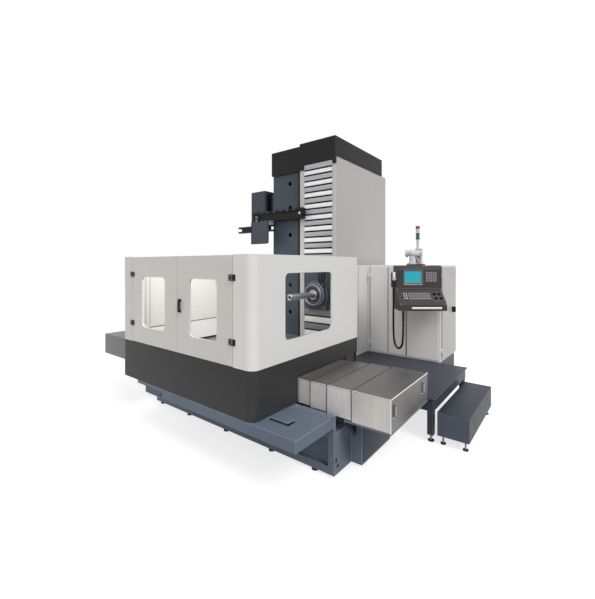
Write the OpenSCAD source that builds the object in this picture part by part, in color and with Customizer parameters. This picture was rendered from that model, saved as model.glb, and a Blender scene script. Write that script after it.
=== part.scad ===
// Table-type horizontal boring and milling machine, in millimetres.
// +X runs along the table travel, +Y runs along the spindle away from the operator's doors, +Z is up.
// The origin is on the floor, at the middle of the machine's footprint.
// Inside the modules, x = 0 and y = 0 are the enclosure's window face and door face.

/* [Enclosure] */
// Width of the enclosure along X
enclosure_w = 2460; // [2300:10:2600]
// Depth of the enclosure along Y
enclosure_d = 1995; // [1900:5:2200]
// Height of the open top above the floor
enclosure_top = 2175; // [2000:5:2500]
// Thickness of the enclosure panels
panel_t = 30; // [20:1:45]
// Outer radius of the rounded corner beside the doors
corner_r = 90; // [50:5:120]
// Height of the top edge of the dark skirt
skirt_top = 1085; // [1000:5:1150]
// Width of the fixed strip beside each door
door_jamb_w = 270; // [200:5:320]
// Height of the door windows
door_window_h = 640; // [400:10:700]
// Width of the left door's window
left_window_w = 515; // [300:5:600]
// Width of the right door's window
right_window_w = 467; // [300:5:600]
// Length of the window in the side panel
side_window_l = 895; // [600:5:1000]
// Height of the window in the side panel
side_window_h = 705; // [500:5:750]
// Corner radius of all windows
window_r = 65; // [30:5:100]
// Thickness of the window panes
pane_t = 8; // [5:1:12]

/* [X axis] */
// Height of the bed's shelf and chip tray top
tray_top = 608; // [560:1:650]
// Depth of the chip tray's box section
tray_h = 108; // [70:1:130]
// Length of the bed to the right of the window face
bed_right = 500; // [400:5:560]
// Length of the bed's front shelf to the left of the window face
bed_left = 2635; // [2500:5:2700]
// Height of the bed's guide face
bed_face = 440; // [400:1:470]
// Distance between the two X guide rails
rail_pitch = 680; // [600:10:760]
// Length of the table along X
table_l = 900; // [800:10:940]
// Length of the table along Y
table_w = 1000; // [900:10:1040]
// Height of the table's working face
table_top = 1060; // [1040:1:1090]
// Thickness of the rotary table
table_t = 160; // [120:1:170]
// Radius of the centring bore in the table
table_bore_r = 40; // [25:1:60]
// Width of the T-slots
slot_w = 22; // [14:1:28]

/* [Way covers] */
// Height of the right way cover's top
cover_top = 866; // [850:1:880]
// Height of the way covers' lower edge
cover_bottom = 566; // [560:1:580]
// Distance that the right way cover stands out past the window face
cover_out = 1038; // [980:1:1100]
// Thickness of the cover sheets
cover_sheet = 3; // [2:0.5:4]
// Step from one cover segment to the next
cover_step = 8; // [7:0.5:10]
// Distance that the left hood stands out past the enclosure
hood_out = 1070; // [1000:5:1150]

/* [Column] */
// Distance from the door face to the column's front face
column_front = 2760; // [2740:5:2800]
// Width of the column along X
column_w = 1400; // [1380:5:1450]
// Depth of the column and its side panel along Y
column_d = 1985; // [1950:5:2100]
// Height of the roof cap's highest point
column_h = 4230; // [4100:5:4400]
// Height of the step between the cap's two roof levels
cap_step = 42; // [20:1:80]
// Height of the spindle's axis above the floor at rest
spindle_z = 1562; // [1500:1:1600]
// Diameter of the boring spindle
quill_d = 100; // [80:1:110]
// Diameter of the bolted ring at the spindle nose
ring_d = 330; // [260:5:340]
// Diameter of the round nose housing
nose_d = 420; // [380:5:440]
// Travel of the headstock above its rest height
lift_up = 1450; // [1200:10:1500]

/* [Cabinet and platform] */
// Width of the control cabinet
cabinet_w = 1290; // [1200:5:1300]
// Depth of the control cabinet
cabinet_d = 950; // [800:5:1000]
// Height of the control cabinet's roof above the floor
cabinet_top = 2061; // [1950:1:2150]
// Height of the platform deck
deck_top = 512; // [480:1:540]
// Height of the step box
step_top = 375; // [330:1:400]
// Width of the step box
step_w = 340; // [300:5:400]
// Length of the step box
step_l = 1330; // [1100:5:1400]

/* [Console] */
// Width of the operator console
console_w = 700; // [640:5:740]
// Angle that the console is turned to face the operator
console_turn = 38; // [0:1:40]
// Width of the screen
screen_w = 260; // [200:1:270]
// Height of the screen
screen_h = 176; // [140:1:190]
// Diameter of the pendant's cord
cord_d = 30; // [18:1:34]

/* [Hidden] */

$fn = 48;
e = 1;                      // how far a cutter passes through a face
run_gap = 0.3;              // clearance of pieces that slide on each other
fit_gap = 0.05;             // radial clearance of turning pieces
seam = 5;                   // open seam between two panels

// Footprint
handle_out = 30;
step_x = 1085;
left_end = -enclosure_w - hood_out;
right_end = step_x + step_w;
z_bed_end = 4900;
mid_x = (left_end + right_end) / 2;
mid_y = (z_bed_end - handle_out) / 2;

// Enclosure
door_split = -1195;
door_top = enclosure_top - 6;
door_bottom = skirt_top + seam;
left_window_x = -1693;
right_window_x = -736;
door_window_z = 1290;
side_window_y = 462;
side_window_z = 1288;
cover_cut_z = cover_top + 24;
hinge_z = [1325, 1950];
hinge_h = 60;
hinge_pin_r = 6;
hinge_out = 11;
rear_right = 380;
rear_left = 200;

// X bed
cover_near = 686;
cover_far = 1695;
axis_y = (cover_near + cover_far) / 2;
bed_front = 604;
bed_back = 1740;
bed_foot = 30;
bed_wall = 76;
ledge_top = tray_top + 14;
body_front = 937;
body_right = bed_right + 124;
body_left = 3100;
rail_w = 60;
rail_h = 76;
screw_r = 31.5;
screw_z = bed_face + 45;
anchor_r = 16;
anchor_x = [-2400, 400];
anchor_y = 642;
anchor_dy = 1060;

// Table and saddle
spindle_x = -1140;
saddle_bottom = bed_face + rail_h + 12;
saddle_top = 800;
saddle_w = 900;
bearing_r = 400;
table_bottom = table_top - table_t;
table_chamfer = 100;
slot_pitch = 180;
slot_neck = 24;
slot_foot_w = 36;
slot_foot_h = 16;

// Way covers: rest places of the leading edges, and lengths, from the outer box inwards
right_edge = [637, 351, 140, -260, spindle_x + table_l / 2];
right_len = [cover_out - 637, 520, 580, 640, 640];
left_edge = [-2250, -1940, spindle_x - table_l / 2];
left_len = 700;
lip = 20;
hood_near = 245;
hood_low = 680;
hood_high = 980;
hook_r = 7;

// Column
column_right = -805;
column_left = column_right - column_w;
channel_left = -1453;
channel_right = -865;
channel_d = 900;
strip_l = 113;
carriage_bottom = 430;
foot_top = 560;
foot_out = 200;
cap_bottom = 3770;
apron_t = 22;
apron_pitch = 100;
apron_top = 3838;
apron_low = 560;
head_w = 400;
head_front = 2660;
head_back = 3600;
head_bottom = 1300;
head_top = 2060;
z_face = 340;
z_rail_pitch = 760;
z_bed_half = 540;
nose_front = 2600;
ring_front = 2555;
quill_tip = 1937;
quill_l = 1040;
port_z = [1195, 1694, 2130, 2618, 3117, 3560];
port_x = -1798;

// Tool changer
rail_z = 2885;
changer_rail_h = 190;
rail_front = 2620;
rail_left = -2640;
rail_right = -1415;
box_left = -2760;
box_right = -2390;
box_front = 2720;
box_low = 2487;
box_high = 3505;
box_back = 3350;
box_tie_y = [2900, 3300];
box_foot = [-2665, -2330];
box_foot_t = 40;
box_head_z = [3100, 3450];
rail_bracket = [[-2150, -1720], 120];
arm_x = -2423;
arm_z = 2740;
arm_half = 445;
arm_front = 2480;
arm_t = 60;
arm_w = 120;
grip_w = 86;
grip_h = 56;
hub_r = 46;
axle_r = 20;
slide_half = 105;
slide_low = 2630;
tab_w = 60;
shroud = [-2478, -2060];
shroud_z = [2454, 2864];
shroud_t = 35;
shroud_gap = 12;

// Cabinet, platform
cabinet_y = 3500;
cabinet_right = 663;
cabinet_left = cabinet_right - cabinet_w;
cabinet_wall = 20;
cabinet_bottom = deck_top + 3;
front_door = [-530, -207];
front_panel = [-203, 122, 632];
deck_right = 1060;
deck_front = 1890;
deck_frame_z = 355;
leg_w = 70;
leg_bottom = 77;
step_y = 1900;
step_bottom = 105;
guard_x = -598;
guard_t = 40;
guard_y = 2450;

// Console, in its own frame: the swivel axis at x = 0 and y = 0, the face towards -y
pivot_x = 310;
pivot_y = 3235;
face_y = -200;
console_left = -312;
console_right = console_left + console_w;
console_top = 2058;
knee_z = 1683;
lip_y = -400;
lip_top = 1477;
lip_bar = [-140, 300];
lip_bar_z = 1431;
console_low = 1389;
screen_x = -50;
screen_z = 1886;
post_y = cabinet_y + 60;
post_w = 90;
post_top = 2330;
tube_z = 2250;
tube_r = 50;
pendant_x = -352;
pendant_w = 70;
pendant_y = -193;
pendant_t = 45;
pendant_low = 1730;
pendant_high = 1950;
wheel_r = 29;
// The cord's own route: out of the pendant, down, round and up to the console's underside
cord_route = [[-352, -216, 1716], [-352, -216, 1660], [-353, -218, 1580], [-355, -222, 1480],
    [-357, -226, 1380], [-359, -231, 1280], [-360, -236, 1180], [-360, -242, 1080],
    [-358, -250, 990], [-352, -262, 915], [-338, -276, 858], [-318, -289, 826],
    [-296, -300, 818], [-274, -312, 832], [-258, -325, 868], [-250, -335, 925],
    [-247, -343, 1000], [-246, -349, 1090], [-246, -353, 1180], [-246, -355, 1270],
    [-246, -356, 1340], [-246, -356, 1369]];

// Derived places
boot_r = cord_d / 2 + 3;
hinge_x = [door_jamb_w - enclosure_w, -door_jamb_w];
door_h = door_top - door_bottom;
door_mid_z = door_window_z + door_window_h / 2;
pane_lap = 12;
pane_gap = 0.5;
pocket = pane_t + 6;
post_leg = 60;
z_mid = (column_left + column_right) / 2;
z_screw_r = 25;
z_screw_z = z_face + 42;
column_body_right = column_right - 62;
column_top = 3900;
column_back = column_front + column_d;
z_rail_top = z_face + rail_h;
spindle_r = 120;
channel_back = column_front + channel_d;
slope_a = atan2(knee_z - lip_top, face_y - lip_y);
slope_l = norm([knee_z - lip_top, face_y - lip_y]);
stop_x = -240;
stop_r = 11;
stop_travel = 5;
wheel_z = 1860;
cab_door_low = cabinet_bottom + 30;
cab_door_high = cabinet_top - 30;
cab_door_t = 18;
cab_gap = 2;
side_door_y = [cabinet_y + 60, cabinet_y + cabinet_d - 60];
latch_y = 4140;
latch_z = [1262, 1342];
latch_out = 50;

module place() translate([-mid_x, -mid_y, 0]) children();

// Frame of the console, turned about its swivel axis
module at_console() place() translate([pivot_x, pivot_y, 0]) rotate([0, 0, console_turn]) children();

// Frame on the console's sloping desk: x along it, y up the slope, z out of it
module on_desk() translate([0, (face_y + lip_y) / 2, (knee_z + lip_top) / 2])
    rotate([slope_a, 0, 0]) children();

// Frame on the console's upright face: x along it, y up, z out of it
module on_face(z) translate([0, face_y, z]) rotate([90, 0, 0]) children();

// A block between two opposite corners
module span(a, b) translate(a) cube(b - a);

// A round bar along +Y from y0 to y1
module bar_y(x, y0, y1, z, r) translate([x, y0, z]) rotate([-90, 0, 0]) cylinder(r = r, h = y1 - y0);

// A round bar along +X from x0 to x1
module bar_x(x0, x1, y, z, r) translate([x0, y, z]) rotate([0, 90, 0]) cylinder(r = r, h = x1 - x0);

module rounded(w, h, r) {
    square([w - 2 * r, h], center = true);
    square([w, h - 2 * r], center = true);
    for (sx = [-1, 1], sy = [-1, 1])
        translate([sx * (w / 2 - r), sy * (h / 2 - r)]) circle(r);
}

// Plan of the enclosure, with rounded corners beside the doors
module plan(inset) {
    translate([inset - enclosure_w, corner_r])
        square([enclosure_w - 2 * inset, enclosure_d - corner_r - inset]);
    translate([corner_r - enclosure_w, inset])
        square([enclosure_w - 2 * corner_r, enclosure_d - 2 * inset]);
    for (x = [corner_r - enclosure_w, -corner_r]) translate([x, corner_r]) circle(corner_r - inset);
}

module shell() difference() {
    plan(0);
    plan(panel_t);
}

// Opening and pane seat of a window in a panel whose outer face is at z = 0 and inner face at z = -panel_t
module window_cut(w, h) {
    translate([0, 0, -panel_t - e]) linear_extrude(panel_t + 2 * e) rounded(w, h, window_r);
    translate([0, 0, -panel_t - e]) linear_extrude(pocket + e)
        rounded(w + 2 * pane_lap, h + 2 * pane_lap, window_r + pane_lap);
}

module pane(w, h) {
    grow = 2 * (pane_lap - pane_gap);
    translate([0, 0, pocket - panel_t - pane_t]) linear_extrude(pane_t)
        rounded(w + grow, h + grow, window_r + pane_lap - pane_gap);
}

// Frames of the three windows: x along the panel, y up, z outwards
module at_door_window(x) translate([x, 0, door_mid_z]) rotate([90, 0, 0]) children();

module at_side_window() translate([0, side_window_y + side_window_l / 2, side_window_z + side_window_h / 2])
    rotate([90, 0, 90]) children();

// Fixed half of a hinge: axis at the origin, panel face at y = hinge_out, fixed panel towards +x
module hinge_fixed() {
    third = hinge_h / 3;
    span([hinge_out + 1.5, 3, -hinge_h / 2], [38, hinge_out, hinge_h / 2]);
    for (s = [-1, 1]) {
        translate([0, 0, s * third - third / 2]) difference() {
            union() {
                cylinder(r = hinge_out, h = third);
                span([0, 3, 0], [14, hinge_out, third]);
            }
            translate([0, 0, -e]) cylinder(r = hinge_pin_r, h = third + 2 * e);
        }
    }
    translate([0, 0, -hinge_h / 2]) cylinder(r = hinge_pin_r, h = hinge_h);
}

// Moving half of a hinge, with its panel towards -x
module hinge_moving() {
    third = hinge_h / 3 - 2 * run_gap;
    difference() {
        union() {
            span([-38, 3, -hinge_h / 2], [-hinge_out - 1.5, hinge_out, hinge_h / 2]);
            translate([0, 0, -third / 2]) cylinder(r = hinge_out, h = third);
            span([-14, 3, -third / 2], [0, hinge_out, third / 2]);
        }
        translate([0, 0, -hinge_h]) cylinder(r = hinge_pin_r + fit_gap, h = 2 * hinge_h);
    }
}

// Beds

module x_bed() color([0.2, 0.23, 0.28]) place() {
    wall_y = bed_front + bed_wall;
    back_y = bed_back - bed_wall;
    difference() {
        union() {
            span([-bed_left, bed_front, bed_foot], [bed_right, bed_back, bed_foot + 68]);
            span([-body_left, wall_y, bed_foot], [bed_right, back_y, bed_face]);
            span([-bed_left, bed_front, bed_face - 60], [bed_right, bed_back, bed_face]);
            span([-bed_left, bed_front, bed_face - e], [bed_right, bed_front + 30, tray_top]);
            span([bed_right - 70, bed_front, bed_foot], [bed_right, wall_y + e, bed_face]);
            span([bed_right - e, body_front, bed_foot], [body_right, bed_back - 100, 331]);
            span([body_right - 64, body_front, 330], [body_right, bed_back - 100, cover_bottom - 10]);
            span([body_right - 64, cover_near, cover_bottom - 20], [cover_out, cover_far, cover_bottom]);
        }
        for (x = [-3040, -2020, -1000]) span([x, wall_y + 40, -e], [x + 960, back_y - 40, bed_face - 50]);
        span([10, wall_y + 40, -e], [bed_right - 40, back_y - 40, bed_face - 50]);
        span([bed_right - 71, bed_front + 20, 130], [bed_right + e, bed_front + 62, 190]);
        for (x = anchor_x, y = [anchor_y, anchor_y + anchor_dy])
            translate([x, y, 0]) cylinder(r = anchor_r, h = 150);
    }
}

module z_bed() color([0.2, 0.23, 0.28]) place() difference() {
    union() {
        span([z_mid - z_bed_half - 50, bed_back, bed_foot],
            [z_mid + z_bed_half + 50, z_bed_end, bed_foot + 60]);
        span([z_mid - z_bed_half, bed_back, bed_foot], [z_mid + z_bed_half, z_bed_end, z_face]);
    }
    for (y = [bed_back + 60, bed_back + 1100, bed_back + 2140])
        span([z_mid - z_bed_half + 50, y, -e], [z_mid + z_bed_half - 50, y + 960, z_face - 60]);
}

module foot(x, y, h, r) translate([x, y, 0]) {
    cylinder(r = r, h = 14);
    cylinder(r = r / 3, h = h);
}

module levelling_feet() color([0.12, 0.12, 0.13]) place() {
    for (x = [-2520, -1860, -1100, -340, 250], y = [bed_front + 38, bed_back - 38]) foot(x, y, bed_foot, 36);
    for (x = [z_mid - z_bed_half - 15, z_mid + z_bed_half + 15], y = [2050, 2750, 3450, 4150, 4800])
        foot(x, y, bed_foot, 36);
    for (x = [step_x + 50, step_x + step_w - 50], y = [step_y + 60, step_y + step_l - 60])
        foot(x, y, step_bottom, 30);
    for (y = [deck_front + 60, cabinet_y - 60]) foot(deck_right - 60, y, leg_bottom, 36);
    for (p = [[140, deck_front + 60], [-560, 2070], [-560, cabinet_y - 60]]) foot(p[0], p[1], leg_bottom, 36);
}

module chip_tray() color([0.2, 0.23, 0.28]) place() difference() {
    union() {
        span([-1498, 0, tray_top - tray_h], [bed_right, bed_front, tray_top]);
        span([-2058, 0, tray_top - 36], [-1498, bed_front, tray_top]);
        span([25, bed_front - 75, tray_top], [bed_right, bed_front, ledge_top]);
    }
    span([15, 175, tray_top - 12], [277, 222, tray_top + e]);
    span([232, 175, tray_top - 12], [277, 306, tray_top + e]);
    span([-1450, 60, tray_top - tray_h - e], [bed_right - 40, bed_front - 90, tray_top - 30]);
}

module guide_rails() color([0.62, 0.64, 0.66]) place() {
    for (s = [-1, 1]) {
        y = axis_y + s * rail_pitch / 2;
        x = z_mid + s * z_rail_pitch / 2;
        span([-2620, y - rail_w / 2, bed_face], [480, y + rail_w / 2, bed_face + rail_h]);
        span([x - rail_w / 2, bed_back + 60, z_face], [x + rail_w / 2, z_bed_end - 50, z_rail_top]);
    }
}

module ball_screws() color([0.62, 0.64, 0.66]) place() {
    bar_x(-2600, 460, axis_y, screw_z, screw_r);
    for (x = [-2620, 410]) span([x, axis_y - 60, bed_face], [x + 60, axis_y + 60, screw_z + 50]);
    bar_y(z_mid, bed_back + 60, z_bed_end - 60, z_screw_z, z_screw_r);
    for (y = [bed_back + 40, z_bed_end - 110])
        span([z_mid - 60, y, z_face], [z_mid + 60, y + 60, z_screw_z + 30]);
}

// Enclosure

module right_panel() color([0.86, 0.87, 0.88]) place() difference() {
    translate([0, 0, skirt_top]) linear_extrude(enclosure_top - skirt_top) intersection() {
        shell();
        union() {
            translate([hinge_x[1] + seam / 2, -e]) square([door_jamb_w, 500]);
            translate([-rear_right, 400]) square([rear_right + e, enclosure_d]);
        }
    }
    at_side_window() window_cut(side_window_l, side_window_h);
}

module left_panel() color([0.86, 0.87, 0.88]) place()
    translate([0, 0, skirt_top]) linear_extrude(enclosure_top - skirt_top) intersection() {
        shell();
        union() {
            translate([-enclosure_w - e, -e]) square([door_jamb_w - seam / 2 + e, 500]);
            translate([-enclosure_w - e, 400]) square([rear_left + e, enclosure_d]);
        }
    }

module skirt() color([0.13, 0.14, 0.16]) place() {
    difference() {
        translate([0, 0, tray_top]) linear_extrude(skirt_top - tray_top) difference() {
            shell();
            translate([rear_left - enclosure_w, enclosure_d / 2])
                square([enclosure_w - rear_left - rear_right, enclosure_d]);
        }
        span([-rear_right - e, cover_near - 6, tray_top - e], [e, enclosure_d + e, cover_cut_z]);
        span([-enclosure_w - e, cover_near - 6, tray_top - e],
            [rear_left - enclosure_w + e, enclosure_d + e, cover_cut_z]);
    }
    for (x = [-panel_t - post_leg, panel_t - enclosure_w]) {
        y = enclosure_d - panel_t;
        span([x, y - post_leg, 0], [x + post_leg, y, skirt_top]);
    }
}

module side_window() color([0.55, 0.66, 0.7]) place() at_side_window() pane(side_window_l, side_window_h);

module door_hinges() color([0.09, 0.09, 0.1]) place() for (z = hinge_z) {
    translate([hinge_x[1], -hinge_out, z]) hinge_fixed();
    translate([hinge_x[0], -hinge_out, z]) mirror([1, 0, 0]) hinge_fixed();
}

module left_door() color([0.86, 0.87, 0.88]) place() {
    difference() {
        span([hinge_x[0] + seam / 2, 0, door_bottom], [door_split - seam / 2, panel_t, door_top]);
        at_door_window(left_window_x) window_cut(left_window_w, door_window_h);
    }
    for (z = hinge_z) translate([hinge_x[0], -hinge_out, z]) mirror([1, 0, 0]) hinge_moving();
}

module left_door_window() color([0.55, 0.66, 0.7]) place()
    at_door_window(left_window_x) pane(left_window_w, door_window_h);

module right_door() color([0.86, 0.87, 0.88]) place() {
    difference() {
        span([door_split + seam / 2, 0, door_bottom], [hinge_x[1] - seam / 2, panel_t, door_top]);
        at_door_window(right_window_x) window_cut(right_window_w, door_window_h);
    }
    for (z = hinge_z) translate([hinge_x[1], -hinge_out, z]) hinge_moving();
}

module right_door_window() color([0.55, 0.66, 0.7]) place()
    at_door_window(right_window_x) pane(right_window_w, door_window_h);

module door_handle() color([0.09, 0.09, 0.1]) place() {
    span([-1142, -handle_out, 1547], [-1114, -handle_out + 14, 1692]);
    for (z = [1547, 1668]) span([-1142, -handle_out + 13, z], [-1114, 0, z + 24]);
}

// Way covers: one sheet-metal segment, k steps inside the outermost one

module cover(x0, x1, k, lead) {
    near = cover_near + k * cover_step;
    far = cover_far - k * cover_step;
    high = cover_top - k * cover_step;
    low = cover_bottom + k * cover_step;
    wipe = cover_step - cover_sheet - run_gap;
    difference() {
        span([x0, near, low], [x1, far, high]);
        span([x0 - e, near + cover_sheet, low - e], [x1 + e, far - cover_sheet, high - cover_sheet]);
    }
    if (lead != 0) {
        a = lead < 0 ? x0 : x1 - lip;
        difference() {
            span([a, near + 1, low], [a + lip, far - 1, high - 1]);
            span([a - e, near + cover_sheet + wipe, low - e],
                [a + lip + e, far - cover_sheet - wipe, high - cover_sheet - wipe]);
        }
    }
}

module right_segment(k) place() cover(right_edge[k], right_edge[k] + right_len[k], k, k < 4 ? -1 : 0);

module right_cover_1() color([0.8, 0.81, 0.82]) {
    right_segment(0);
    place() {
        span([cover_out - cover_sheet, cover_near, cover_bottom], [cover_out, cover_far, cover_top]);
        for (y = [760, 1530]) {
            bar_x(cover_out - e, cover_out + 18, y, 800, hook_r);
            bar_x(cover_out - e, cover_out + 18, y, 700, hook_r);
            translate([cover_out + 18 - hook_r, y, 700]) cylinder(r = hook_r, h = 100);
        }
    }
}

module right_cover_2() color([0.8, 0.81, 0.82]) right_segment(1);

module right_cover_3() color([0.8, 0.81, 0.82]) right_segment(2);

module right_cover_4() color([0.8, 0.81, 0.82]) right_segment(3);

module right_cover_5() color([0.8, 0.81, 0.82]) right_segment(4);

module left_segment(k) place() cover(left_edge[k] - left_len, left_edge[k], k, k < 2 ? 1 : 0);

module left_cover_1() color([0.8, 0.81, 0.82]) left_segment(0);

module left_cover_2() color([0.8, 0.81, 0.82]) left_segment(1);

module left_cover_3() color([0.8, 0.81, 0.82]) left_segment(2);

module left_hood() color([0.8, 0.81, 0.82]) place() {
    hood_far = cover_far + 60;
    difference() {
        span([left_end, hood_near, hood_low], [-enclosure_w, hood_far, hood_high]);
        span([left_end + 6, hood_near + 6, hood_low - e], [-enclosure_w + e, hood_far - 6, hood_high - 6]);
    }
    for (y = [cover_near - 9, cover_far]) {
        span([left_end + 60, y, cover_bottom], [-enclosure_w, y + 9, hood_high - 3]);
    }
    span([left_end + 60, cover_near - 9, cover_bottom - 12], [-body_left + 40, cover_far + 9, cover_bottom]);
}

// Table

module runner(x0, x1, yc, face) difference() {
    span([x0, yc - rail_w / 2 - 40, face + 22], [x1, yc + rail_w / 2 + 40, face + rail_h + 12 + e]);
    span([x0 - e, yc - rail_w / 2 - run_gap, face],
        [x1 + e, yc + rail_w / 2 + run_gap, face + rail_h + run_gap]);
}

module saddle() color([0.35, 0.38, 0.42]) place() {
    x0 = spindle_x - saddle_w / 2;
    x1 = spindle_x + saddle_w / 2;
    difference() {
        span([x0, cover_near + 42, saddle_bottom], [x1, cover_far - 42, saddle_top]);
        translate([spindle_x, axis_y, saddle_top - 60]) cylinder(r = table_bore_r + 60, h = 100);
    }
    for (s = [-1, 1], x = [x0 + 30, x1 - 230]) runner(x, x + 200, axis_y + s * rail_pitch / 2, bed_face);
    difference() {
        span([spindle_x - 90, axis_y - 60, bed_face + 6], [spindle_x + 90, axis_y + 60, saddle_bottom + e]);
        bar_x(spindle_x - 91, spindle_x + 91, axis_y, screw_z, screw_r + run_gap);
    }
    for (x = [x0, x1 - 12], y = [cover_near + 36, cover_far - 46])
        span([x, y, saddle_bottom + 80], [x + 12, y + 10, saddle_top + 20]);
}

module rotary_table() color([0.5, 0.52, 0.54]) place() translate([spindle_x, axis_y, 0]) difference() {
    l = table_l / 2;
    w = table_w / 2;
    c = table_chamfer;
    union() {
        translate([0, 0, table_bottom]) linear_extrude(table_t)
            polygon([[c - l, -w], [l - c, -w], [l, c - w], [l, w - c],
                [l - c, w], [c - l, w], [-l, w - c], [-l, c - w]]);
        translate([0, 0, saddle_top + run_gap]) cylinder(r = bearing_r, h = table_bottom - saddle_top);
        translate([0, 0, saddle_top - 50]) cylinder(r = table_bore_r + 60 - run_gap, h = 60);
    }
    translate([0, 0, table_top - 80]) cylinder(r = table_bore_r, h = 81);
    for (i = [-2:2]) {
        y = i * slot_pitch;
        span([-l - e, y - slot_w / 2, table_top - slot_neck], [l + e, y + slot_w / 2, table_top + e]);
        span([-l - e, y - slot_foot_w / 2, table_top - slot_neck - slot_foot_h],
            [l + e, y + slot_foot_w / 2, table_top - slot_neck]);
    }
}

// Column

module column() color([0.3, 0.35, 0.42]) place() {
    difference() {
        span([column_left, column_front, carriage_bottom], [column_body_right, column_back, column_top]);
        span([channel_left, column_front - e, foot_top],
            [column_body_right + e, channel_back, column_top + e]);
        span([column_left + 40, column_front + 40, foot_top],
            [channel_left - 40, column_back - 40, column_top - 40]);
        span([channel_left, channel_back + 40, foot_top],
            [column_body_right - 40, column_back - 40, column_top - 40]);
        bar_x(channel_left - 41, channel_left + 1, column_back - 300, 2000, 150);
        for (z = port_z) bar_y(port_x, column_front - e, column_front + 41, z, 42);
    }
    span([column_left, column_front - foot_out, carriage_bottom],
        [column_body_right, column_front, foot_top]);
    for (s = [-1, 1], y = [column_front + 40, column_back - 240]) {
        x = z_mid + s * z_rail_pitch / 2;
        difference() {
            span([x - 70, y, z_face + 20], [x + 70, y + 200, carriage_bottom + e]);
            span([x - rail_w / 2 - run_gap, y - e, z_face],
                [x + rail_w / 2 + run_gap, y + 201, z_rail_top + run_gap]);
        }
    }
    difference() {
        span([z_mid - 60, 3700, z_face + 6], [z_mid + 60, 3860, carriage_bottom + e]);
        bar_y(z_mid, 3699, 3861, z_screw_z, z_screw_r + run_gap);
    }
}

module column_cap() color([0.13, 0.14, 0.16]) place() {
    x0 = column_left - 10;
    x1 = column_right + 10;
    y0 = column_front - 40;
    y1 = column_back - 200;
    split = -1543;
    difference() {
        union() {
            span([x0, y0, column_top], [x1, y1, column_h - cap_step]);
            span([split, y0, column_top], [x1, y1, column_h]);
            span([x0, y0, cap_bottom - 18], [split, y0 + 39, column_top + e]);
            span([split, y0, apron_top], [x1, y0 + 39, column_top + e]);
            span([x1 - 60, y0, cap_bottom], [x1, y0 + 39, apron_top + e]);
        }
        span([x0 + 8, y0 + 8, cap_bottom - 20], [x1 - 8, y1 - 8, column_h - cap_step - 8]);
        span([split + 8, y0 + 8, column_h - 100], [x1 - 8, y1 - 8, column_h - 8]);
    }
    span([x0 + 8, column_front, column_top], [column_right - 70, y1 - 8, column_top + 20]);
    span([x0, y0 + 8, cap_bottom - 18], [x0 + 12, column_front, column_top + e]);
}

module column_panel() color([0.78, 0.79, 0.8]) place() difference() {
    span([column_body_right, column_front, carriage_bottom], [column_right, column_back, column_top]);
    span([column_body_right - e, column_front + 6, carriage_bottom + 6],
        [column_right - 6, column_back - 6, column_top - 6]);
}

module apron_guides() color([0.78, 0.79, 0.8]) place() {
    span([channel_left - strip_l, column_front - 25, foot_top], [channel_left, column_front, apron_top + 60]);
    span([channel_right, column_front - 25, foot_top], [column_right, column_front, apron_top]);
}

// One run of slats, from low to high
module slats(low, high) {
    n = round((high - low) / apron_pitch);
    pitch = (high - low) / n;
    for (i = [0:n - 1]) {
        span([channel_left + 2, column_front - apron_t, low + i * pitch],
            [channel_right - 2, column_front - 8, low + (i + 1) * pitch]);
        span([channel_left + 2, column_front - apron_t - 5, low + i * pitch + 8],
            [channel_right - 2, column_front - apron_t + e, low + (i + 1) * pitch - 8]);
    }
}

module upper_apron() color([0.66, 0.67, 0.69]) place() slats(head_top, apron_top);

module lower_apron() color([0.66, 0.67, 0.69]) place() slats(apron_low, head_bottom - run_gap);

module column_rails() color([0.62, 0.64, 0.66]) place() {
    for (s = [-1, 1]) {
        x = spindle_x + s * 150;
        span([x - 25, channel_back - 45, foot_top + 20], [x + 25, channel_back, column_top - 40]);
    }
    translate([spindle_x, channel_back - 26, foot_top]) cylinder(r = 14, h = 3300);
    for (z = [foot_top, column_top - 60])
        span([spindle_x - 40, channel_back - 52, z], [spindle_x + 40, channel_back, z + 50]);
}

module headstock() color([0.28, 0.32, 0.38]) place() {
    x0 = spindle_x - head_w / 2;
    x1 = spindle_x + head_w / 2;
    difference() {
        union() {
            span([x0, head_front, head_bottom], [x1, head_back, head_top]);
            bar_y(spindle_x, nose_front, head_front + 80, spindle_z, nose_d / 2);
            span([channel_left + 4, column_front - apron_t, head_bottom],
                [channel_right - 4, column_front - 6, head_top]);
        }
        bar_y(spindle_x, nose_front - e, head_back - 100, spindle_z, spindle_r + fit_gap);
        bar_y(spindle_x, nose_front - e, head_back + e, spindle_z, quill_d / 2 + 4);
    }
    for (s = [-1, 1], z = [head_bottom + 20, head_top - 220]) {
        x = spindle_x + s * 150;
        difference() {
            span([x - 48, head_back - e, z], [x + 48, channel_back - 8, z + 200]);
            span([x - 25 - run_gap, channel_back - 45 - run_gap, z - e],
                [x + 25 + run_gap, channel_back, z + 201]);
        }
    }
    difference() {
        span([spindle_x - 34, head_back - e, head_top - 180],
            [spindle_x + 34, channel_back - 4, head_top - 60]);
        translate([spindle_x, channel_back - 26, head_top - 181]) cylinder(r = 14 + run_gap, h = 122);
    }
}

module spindle_nose() color([0.72, 0.73, 0.75]) place() difference() {
    union() {
        bar_y(spindle_x, ring_front, nose_front - run_gap, spindle_z, ring_d / 2);
        bar_y(spindle_x, nose_front - e, head_back - 101, spindle_z, spindle_r);
    }
    bar_y(spindle_x, ring_front - e, head_back, spindle_z, quill_d / 2 + fit_gap);
    for (i = [0:7]) rotate_about_spindle(i * 45)
        bar_y(spindle_x + ring_d / 2 - 22, ring_front - e, ring_front + 12, spindle_z, 9);
}

module rotate_about_spindle(a) translate([spindle_x, 0, spindle_z]) rotate([0, a, 0])
    translate([-spindle_x, 0, -spindle_z]) children();

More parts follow.
